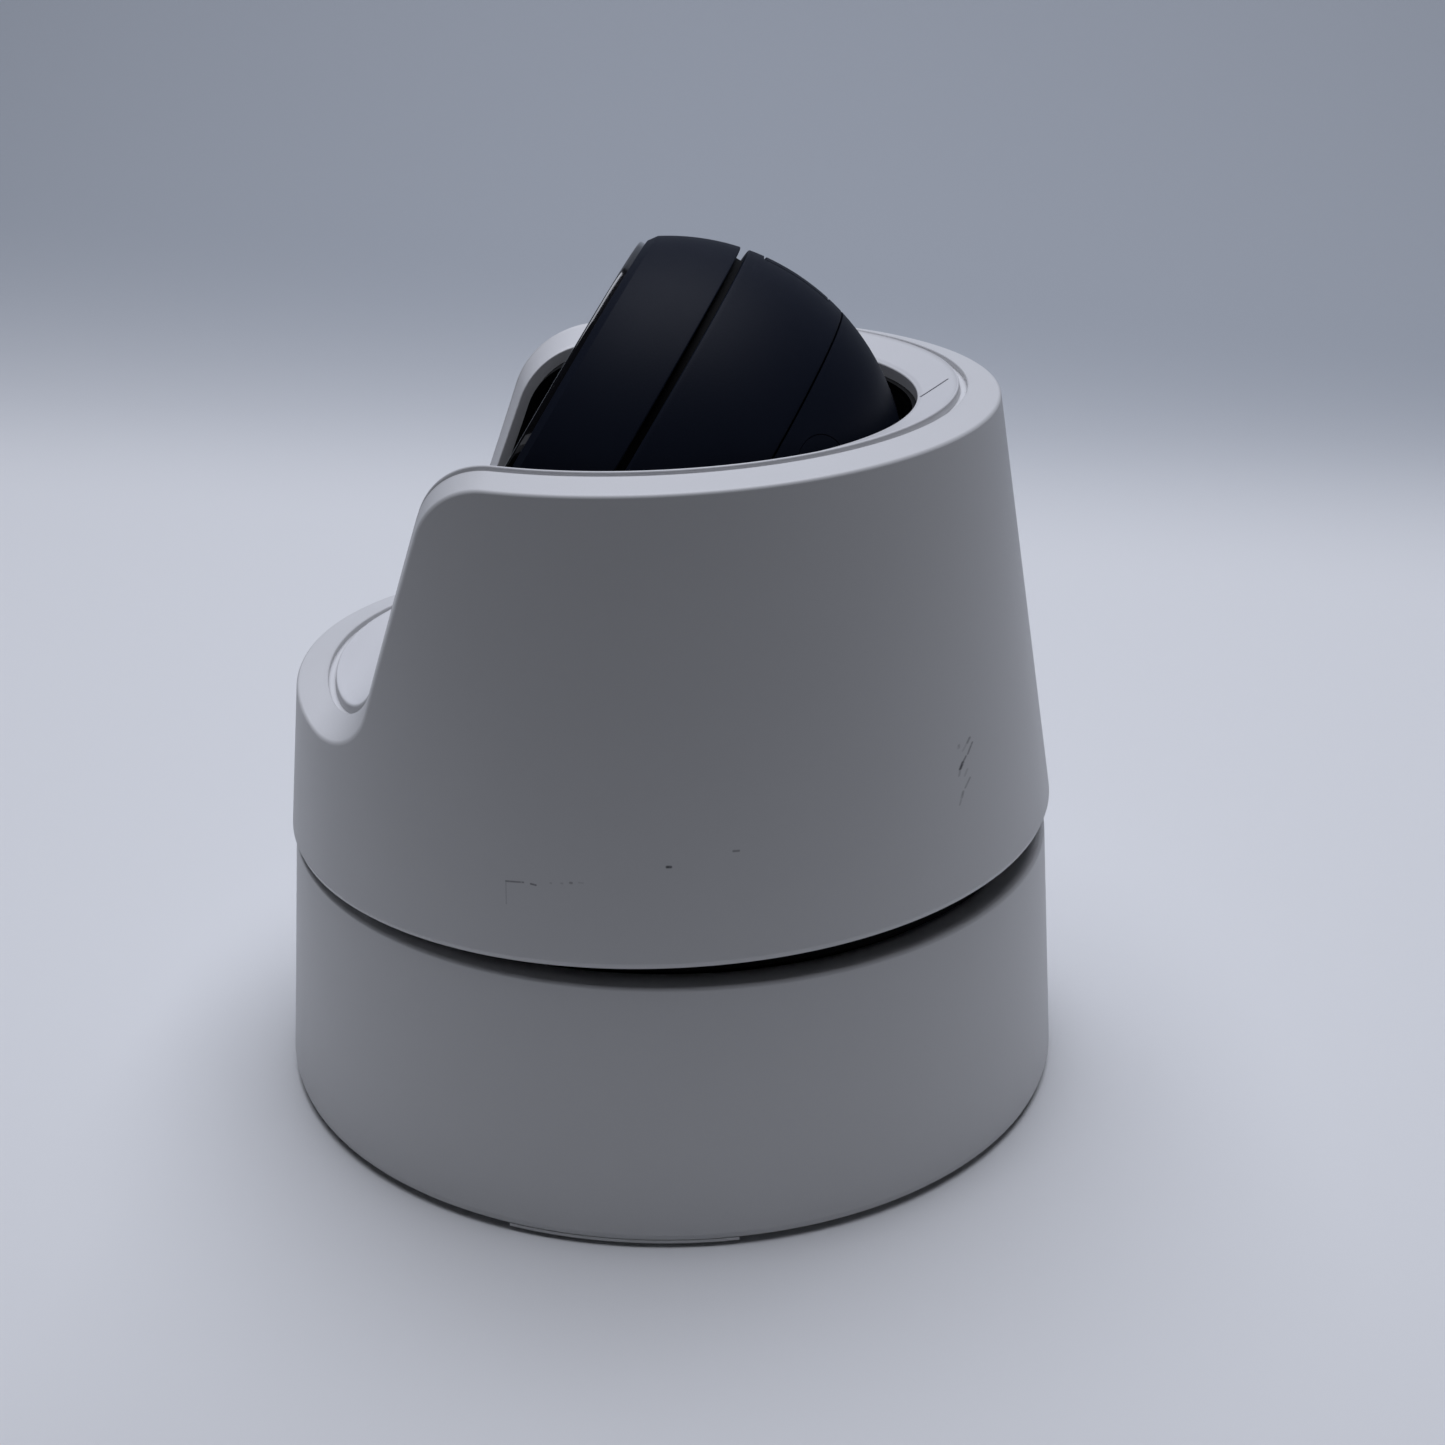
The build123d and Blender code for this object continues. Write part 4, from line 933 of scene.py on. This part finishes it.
# ---------------------------------------------------------------- base drum
@dataclass
class Drum:
    """Tapered white base with a sloping top band round a deck in a black finish, painted shade for the dark
    gap under the turret, in millimetres.
    """

    white: bpy.types.Material
    # painted shade: the black finish that the deck top gets, for the dark gap under the turret
    dark: bpy.types.Material
    rubber: bpy.types.Material
    pad_in: float = 53.8
    pad_out: float = 60.3
    pad_round: float = 0.25
    groove_half: float = 1.2
    groove_chamfer: float = 0.2
    groove_deep: float = 0.4
    tab_count: int = 3
    tab_w: float = 34.0
    tab_r: float = 63.2
    tab_low: float = 0.55
    tab_lap: float = 0.6
    bevel: float = 0.3
    bevel_h: float = 1.0
    bevel_step: float = 0.12
    foot_r: float = 63.5
    top_r: float = 60.3
    height: float = 41.1
    wall: float = 2.4
    foot_gap: float = 1.2
    band_w: float = 5.6
    band_drop: float = 0.8
    deck_z: float = 39.0
    deck_t: float = 2.6
    bearing_r: float = 24.0
    bearing_z: float = 35.0
    bearing_lip: float = 3.0

    def _radius(self, height: float) -> float:
        """Outer radius at a height."""
        return self.foot_r - (self.foot_r - self.top_r) * height / self.height

    def build(self) -> None:
        """Make the drum, and the foot that it stands on."""
        self._wall()
        self._foot_ring()
        for number in range(self.tab_count):
            self._foot_tab(number)

    def _foot_ring(self) -> None:
        """Recessed rubber ring with a rounded lower edge and a groove in its sole."""
        groove, half = (self.pad_in + self.pad_out) / 2, self.groove_half
        flat = half - self.groove_chamfer
        corners = [
            Corner(self.pad_in, self.foot_gap), Corner(self.pad_in, 0.0, self.pad_round),
            Corner(groove - half, 0.0, 0.1), Corner(groove - flat, self.groove_deep),
            Corner(groove + flat, self.groove_deep), Corner(groove + half, 0.0, 0.1),
            Corner(self.pad_out, 0.0, self.pad_round), Corner(self.pad_out, self.foot_gap),
        ]
        make_piece(Job("foot_ring", Body.BASE, "rubber", ("foot_gasket",)), lathe(corners), self.rubber)

    def _foot_tab(self, number: int) -> None:
        """One light step that reaches out flush under the wall."""
        half = self.tab_w / 2 / self.tab_r
        mesh = bmesh.new()
        root, top = self.pad_out - self.tab_lap, self.foot_gap + 0.02
        profile = [(root, self.tab_low), (self.tab_r - 0.25, self.tab_low),
                   (self.tab_r, self.tab_low + 0.2), (self.tab_r, top), (root, top)]
        face = mesh.faces.new([mesh.verts.new((r * MM, 0.0, z * MM)) for r, z in profile])
        bmesh.ops.rotate(mesh, verts=mesh.verts, cent=(0, 0, 0), matrix=Matrix.Rotation(-half, 3, "Z"))
        bmesh.ops.spin(mesh, geom=[face], axis=(0, 0, 1), cent=(0, 0, 0), angle=2 * half, steps=36,
                       use_duplicate=False)
        bmesh.ops.recalc_face_normals(mesh, faces=mesh.faces)
        make_piece(Job(f"foot_tab_{number + 1}", Body.BASE, "white_case"), mesh, self.white,
                   place=Matrix.Rotation(math.tau * number / self.tab_count, 4, "Z"))

    def _wall(self) -> None:
        """The drum as one turned skin with rounded edges."""
        band_in = self.top_r - self.band_w
        under, lip_r = self.deck_z - self.deck_t, self.bearing_r + self.bearing_lip
        bevel_top = self.foot_gap + self.bevel_h
        corners = [
            Corner(self._radius(self.foot_gap) - self.wall, self.foot_gap, 0.3),
            Corner(self._radius(self.foot_gap) - self.bevel, self.foot_gap, 0.12),
            Corner(self._radius(bevel_top) - self.bevel_step, bevel_top),
            Corner(self._radius(bevel_top), bevel_top + 0.06, 0.03),
            Corner(self._radius(self.height), self.height, 0.6),
            Corner(band_in, self.height - self.band_drop, 0.25),
            Corner(band_in, self.deck_z),
            Corner(self.bearing_r, self.deck_z, 0.2),
            Corner(self.bearing_r, self.bearing_z),
            Corner(lip_r, self.bearing_z),
            Corner(lip_r, under),
            Corner(self._radius(under) - self.wall, under),
        ]
        mesh = lathe(corners, steps=256)
        # The deck and bearing collar inside the top band get the black finish, painted shade for the gap
        # under the turret.
        for face in mesh.faces:
            centre = face.calc_center_median()
            inside = math.hypot(centre.x, centre.y) < (band_in + 0.05) * MM
            face.material_index = 1 if inside and centre.z > (self.deck_z - 0.1) * MM else 0
        make_piece(Job("base_skin", Body.BASE, "white_case", ("base_shell",)), mesh, self.white, self.dark)


# ---------------------------------------------------------------- ball head
@dataclass
class BallHead:
    """Front ring and middle shell of the ball, and the smoked face with its light guide.

    Sizes are in millimetres along the lens axis from the ball's centre and out from that axis.
    """

    black: bpy.types.Material
    smoked: bpy.types.Material
    guide: bpy.types.Material
    ball_r: float = 36.16
    ball_z: float = 96.3
    tip: float = math.radians(59.5)
    wall: float = 2.2
    seam_rear: float = -9.4
    groove_low: float = 7.2
    groove_high: float = 8.4
    ring_front: float = 20.9
    ring_bevel: float = 1.0
    ring_land: float = 0.3
    face_r: float = 28.2
    face_front: float = 21.84
    face_t: float = 1.2
    face_bore: float = 18.2
    face_gap: float = 0.3
    seat_depth: float = 2.6
    seat_lip: float = 2.6
    seat_t: float = 1.4
    bezel_w: float = 1.3
    bezel_groove: float = 0.5
    bezel_deep: float = 0.25
    ribs: int = 180
    rib_deep: float = 0.35
    guide_w: float = 2.4
    cover_turns: tuple[float, float] = (-28.0, -3.0)
    cover_inset: float = 2.1
    cover_seam: tuple[tuple[float, float], ...] = ((0.05, 0.0), (0.28, -0.6), (0.2, 0.6))

    def build(self) -> None:
        """Make every replaced piece of the head."""
        self._front_ring()
        self._middle()
        self._face()
        self._light_guide()

    @property
    def place(self) -> Matrix:
        """The head's frame, lens axis along +Z."""
        return Matrix.Translation((0, 0, self.ball_z * MM)) @ Matrix.Rotation(self.tip, 4, "X")

    @property
    def seat(self) -> float:
        """Height of the face's seat along the lens axis."""
        return self.ring_front - self.seat_depth

    def _front_ring(self) -> None:
        """The ring in front of the groove, with its bevelled front edge and the face's seat."""
        shoulder = self.ring_front - self.ring_bevel
        outer = ball_arc(self.ball_r, self.groove_high, shoulder, 18)
        outer[0] = Corner(outer[0].radius, outer[0].height, 0.25)
        outer[-1] = Corner(outer[-1].radius, outer[-1].height, 0.1)
        bore, lip, under = self.face_r + self.face_gap, self.face_r - self.seat_lip, self.seat - self.seat_t
        inner = ball_arc(self.ball_r - self.wall, self.groove_high, under, 10)
        front = [Corner(bore + self.ring_land, self.ring_front, 0.08), Corner(bore, self.ring_front, 0.08),
                 Corner(bore, self.seat), Corner(lip, self.seat), Corner(lip, under)]
        mesh = lathe([*outer, *front, *reversed(inner)], steps=256)
        make_piece(Job("front_ring_skin", Body.HEAD, "black_case", ("front_ring",)), mesh, self.black,
                   place=self.place)

    def _middle(self) -> None:
        """The middle shell, with the seam of the long card cover sunk into its top."""
        outer = ball_arc(self.ball_r, self.seam_rear, self.groove_low, 22)
        outer[0] = Corner(outer[0].radius, outer[0].height, 0.2)
        outer[-1] = Corner(outer[-1].radius, outer[-1].height, 0.25)
        inner = ball_arc(self.ball_r - self.wall, self.seam_rear, self.groove_low, 12)
        mesh = lathe([*outer, *reversed(inner)], steps=360)
        first, last = (math.radians(90 - t) for t in reversed(self.cover_turns))
        low, high = self.seam_rear + self.cover_inset, self.groove_low - self.cover_inset
        cover = []
        for face in mesh.faces:
            at = face.calc_center_median()
            outside = at.length > (self.ball_r - self.wall / 4) * MM
            if outside and first < math.atan2(at.y, at.x) < last and low * MM < at.z < high * MM:
                cover.append(face)
        for thick, depth in self.cover_seam:
            bmesh.ops.inset_region(mesh, faces=cover, thickness=thick * MM, depth=depth * MM,
                                   use_boundary=True, use_even_offset=True)
        make_piece(Job("middle_skin", Body.HEAD, "black_case", ("mid_shell", "card_cover")), mesh,
                   self.black, place=self.place)

    def _face(self) -> None:
        """Smoked annular window with rounded edges."""
        low, sunk = self.face_front - self.face_t, self.face_front - self.bezel_deep
        groove, wide = self.face_bore + self.bezel_w, self.bezel_groove
        corners = [
            Corner(self.face_bore, low, 0.1), Corner(self.face_r, low, 0.1),
            Corner(self.face_r, self.face_front, 0.35), Corner(groove + wide, self.face_front, 0.06),
            Corner(groove + 0.7 * wide, sunk), Corner(groove + 0.3 * wide, sunk),
            Corner(groove, self.face_front, 0.06), Corner(self.face_bore, self.face_front, 0.15),
        ]
        make_piece(Job("face_window", Body.HEAD, "smoked_glass", ("face_plate",)), lathe(corners),
                   self.smoked, place=self.place)

    def _guide_ring(self, low_r: float, high_r: float, height: float) -> list[Point]:
        """One loop of the light guide.

        Args:
            low_r: radius in the valleys between the ribs.
            high_r: radius on the ribs.
            height: place along the lens axis.

        Returns:
            The loop's places.
        """
        places = []
        for i in range(2 * self.ribs):
            turn, reach = math.pi * i / self.ribs, high_r if i % 2 else low_r
            places.append((reach * math.cos(turn), reach * math.sin(turn), height))
        return places

    def _light_guide(self) -> None:
        """Clear ribbed guide round the edge of the face."""
        low, high, inner = self.seat, self.face_front - self.face_t, self.face_r - self.guide_w
        ribbed = (self.face_r - self.rib_deep, self.face_r)
        loops = Loops(self._guide_ring(*ribbed, low))
        for radii, height in ((ribbed, high), ((inner, inner), high), ((inner, inner), low), (ribbed, low)):
            loops.add(self._guide_ring(*radii, height))
        make_piece(Job("light_guide", Body.HEAD, "clear_plastic", ("light_ring",)), loops.close(),
                   self.guide, place=self.place)


# ---------------------------------------------------------------- stage
@dataclass
class Studio:
    """Pale floor with a sweep behind it, one soft lamp and the camera, in metres."""

    eye: Point = (0.32074, 0.03938, 0.19281)
    ahead: Point = (-0.9159, -0.0888, -0.3915)
    up: Point = (-0.3895, -0.0398, 0.9202)
    lens: float = 54.39
    world_colour: Colour = (0.85, 0.90, 1.0)
    world_strength: float = 0.02
    lamp_at: Point = (-0.16, 0.0, 1.1)
    lamp_target: Point = (-0.05, 0.0, 0.0)
    lamp_side: float = 0.9
    lamp_watts: float = 11.6
    lamp_colour: Colour = (0.90, 0.93, 1.04)
    floor_reach: float = 3.0
    floor_back: float = 0.36
    bend: float = 0.35
    bend_steps: int = 24
    backdrop: float = 2.5

    def build(self) -> None:
        """Make the stage, the light and the camera."""
        self._floor()
        self._light()
        self._camera()

    def _camera(self) -> None:
        """Create the camera and look through it."""
        data = bpy.data.cameras.new("view")
        data.lens, data.sensor_width, data.clip_start = self.lens, 36.0, 0.01
        camera = bpy.data.objects.new("view", data)
        bpy.context.scene.collection.objects.link(camera)
        back = -Vector(self.ahead).normalized()
        right = Vector(self.up).cross(back).normalized()
        top = back.cross(right)
        turn = Matrix((right, top, back)).transposed().to_4x4()
        camera.matrix_world = Matrix.Translation(self.eye) @ turn
        bpy.context.scene.camera = camera

    def _floor(self) -> None:
        """Make the floor that sweeps up into the backdrop."""
        mesh = bmesh.new()
        reach, back, bend = self.floor_reach, -self.floor_back, self.bend
        turns = [math.pi / 2 * i / self.bend_steps for i in range(1, self.bend_steps + 1)]
        outline = [(reach, 0.0), (back, 0.0)]
        outline += [(back - bend * math.sin(t), bend * (1 - math.cos(t))) for t in turns]
        outline.append((back - bend, self.backdrop))
        line = [mesh.verts.new((x, -reach, z)) for x, z in outline]
        edges = [mesh.edges.new(pair) for pair in zip(line, line[1:])]
        wide = bmesh.ops.extrude_edge_only(mesh, edges=edges)
        moved = [g for g in wide["geom"] if isinstance(g, bmesh.types.BMVert)]
        bmesh.ops.translate(mesh, verts=moved, vec=(0, 2 * reach, 0))
        bmesh.ops.recalc_face_normals(mesh, faces=mesh.faces)
        for face in mesh.faces:
            face.smooth = True
        data = bpy.data.meshes.new("floor")
        mesh.to_mesh(data)
        mesh.free()
        floor = bpy.data.objects.new("floor", data)
        bpy.context.scene.collection.objects.link(floor)
        data.materials.append(Sweep().build())

    def _light(self) -> None:
        """Hang one square soft lamp overhead and make a faint sky."""
        scene = bpy.context.scene
        scene.world = bpy.data.worlds.new("studio")
        scene.world.use_nodes = True
        sky = scene.world.node_tree.nodes["Background"]
        sky.inputs["Color"].default_value = (*self.world_colour, 1.0)
        sky.inputs["Strength"].default_value = self.world_strength
        scene.view_settings.view_transform = "Standard"
        data = bpy.data.lights.new("top", "AREA")
        data.shape, data.size = "SQUARE", self.lamp_side
        data.energy, data.color = self.lamp_watts, self.lamp_colour
        lamp = bpy.data.objects.new("top", data)
        scene.collection.objects.link(lamp)
        lamp.location = self.lamp_at
        aim = Vector(self.lamp_at) - Vector(self.lamp_target)
        lamp.rotation_euler = aim.to_track_quat("Z", "Y").to_euler()


@dataclass(frozen=True)
class Sweep:
    """Pale paper of the floor and backdrop, with painted shade: dimmer up the back, where less lamp light
    reaches, and a painted shadow that darkens the floor close to the +X side.
    """

    pale: Colour = (0.74, 0.745, 0.75)
    # painted shade: colour of the backdrop higher up, darkened for the lamp light that falls off there
    painted_back_shade: Colour = (0.36, 0.385, 0.42)
    # painted shadow: colour of the floor towards +X, darkened so that it bounces little light onto the near
    # wall
    painted_near_shade: Colour = (0.08, 0.08, 0.08)
    slant: float = 0.12
    back_shade_at: float = 0.37
    back_shade_soft: float = 0.25
    near_shade_at: float = 0.22
    near_shade_soft: float = 0.26

    def build(self) -> bpy.types.Material:
        """Make the material."""
        recipe = Recipe("floor_paper")
        across, along, _ = recipe.axes()
        # painted shade mask: 0 on the lit floor, rising to 1 up the backdrop, tilted a little along y
        back_shade_mask = (across * -1.0 + along * self.slant).above(self.back_shade_at, self.back_shade_soft)
        # painted shadow mask: 1 on the floor towards +X, where the paper colour is darkened
        close = across.above(self.near_shade_at, self.near_shade_soft)
        paper = recipe.blend(close, recipe.blend(back_shade_mask, self.pale, self.painted_back_shade), self.painted_near_shade)
        recipe.set(Base_Color=paper, Roughness=0.8)
        return recipe.material


# ---------------------------------------------------------------- whole object
def dress_nodes(frame: dict, finishes: dict[str, bpy.types.Material]) -> None:
    """Give every carried-over CAD node the finish of its slot.

    Args:
        frame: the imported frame.
        finishes: a material for each slot.
    """
    slots = {part["node"]: part["material_slot"] for part in frame["record"]["subparts"]}
    for name, node in frame["nodes"].items():
        node.data.materials.clear()
        node.data.materials.append(finishes[slots[name]])


def make_finishes() -> dict[str, bpy.types.Material]:
    """Build every finish.

    Returns:
        Materials by the record's slot names.
    """
    made = [
        MouldedPlastic("white_case", CASE_WHITE, CASE_SHADE),
        MouldedPlastic("white_liner", (0.63, 0.63, 0.64), (0.61, 0.61, 0.62)),
        MouldedPlastic("black_case", (0.0080, 0.0102, 0.0178), (0.0060, 0.0080, 0.0150), roughness=0.5,
                       specular=0.05),
        MouldedPlastic("black_inner", (0.004, 0.004, 0.0045), (0.003, 0.003, 0.0035), roughness=0.65,
                       specular=0.1),
        DullRubber("rubber"),
        Metal("plate_metal", (0.50, 0.51, 0.53), 0.42, 0.1),
        Metal("steel", (0.62, 0.63, 0.65), 0.3, 0.2),
        Metal("bearing_steel", (0.7, 0.71, 0.73), 0.14),
        CircuitBoard("board"),
        MouldedPlastic("chips", (0.02, 0.02, 0.022), (0.014, 0.014, 0.016), roughness=0.55),
        Metal("gold", (0.86, 0.62, 0.25), 0.25),
        MouldedPlastic("gear_plastic", (0.72, 0.70, 0.64), (0.66, 0.64, 0.58), roughness=0.38),
        DullRubber("belt", (0.016, 0.016, 0.016)),
        MouldedPlastic("wires", (0.06, 0.06, 0.065), (0.03, 0.03, 0.032), roughness=0.5),
        PolishedDark("smoked_glass"),
        ClearPart("clear_glass", (0.97, 0.98, 1.0)),
        ClearPart("clear_plastic", (0.95, 0.97, 1.0), roughness=0.08, ior=1.49),
        Metal("reflector", (0.85, 0.86, 0.88), 0.12),
        Metal("lens_metal", (0.05, 0.05, 0.055), 0.4),
        ClearPart("filter_glass", (0.35, 0.75, 0.85)),
        Metal("heat_sink", (0.28, 0.29, 0.31), 0.45, 0.2),
        Metal("bronze", (0.55, 0.36, 0.18), 0.35),
    ]
    return {finish.name: finish.build() for finish in made}


def main() -> None:
    """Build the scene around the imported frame."""
    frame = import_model()
    finishes = make_finishes()
    dress_nodes(frame, finishes)
    ink = MouldedPlastic("index_ink", (0.06, 0.06, 0.07), (0.045, 0.045, 0.055)).build()
    worn = ScuffedPlastic("turret_white", CASE_WHITE, CASE_SHADE, strokes=SCRATCHES).build()
    Turret(worn, finishes["white_liner"], ink).build()
    Drum(finishes["white_case"], finishes["black_inner"], finishes["rubber"]).build()
    BallHead(finishes["black_case"], finishes["smoked_glass"], finishes["clear_plastic"]).build()
    Studio().build()


if __name__ == "__main__":
    logging.basicConfig(level=logging.INFO)
    main()
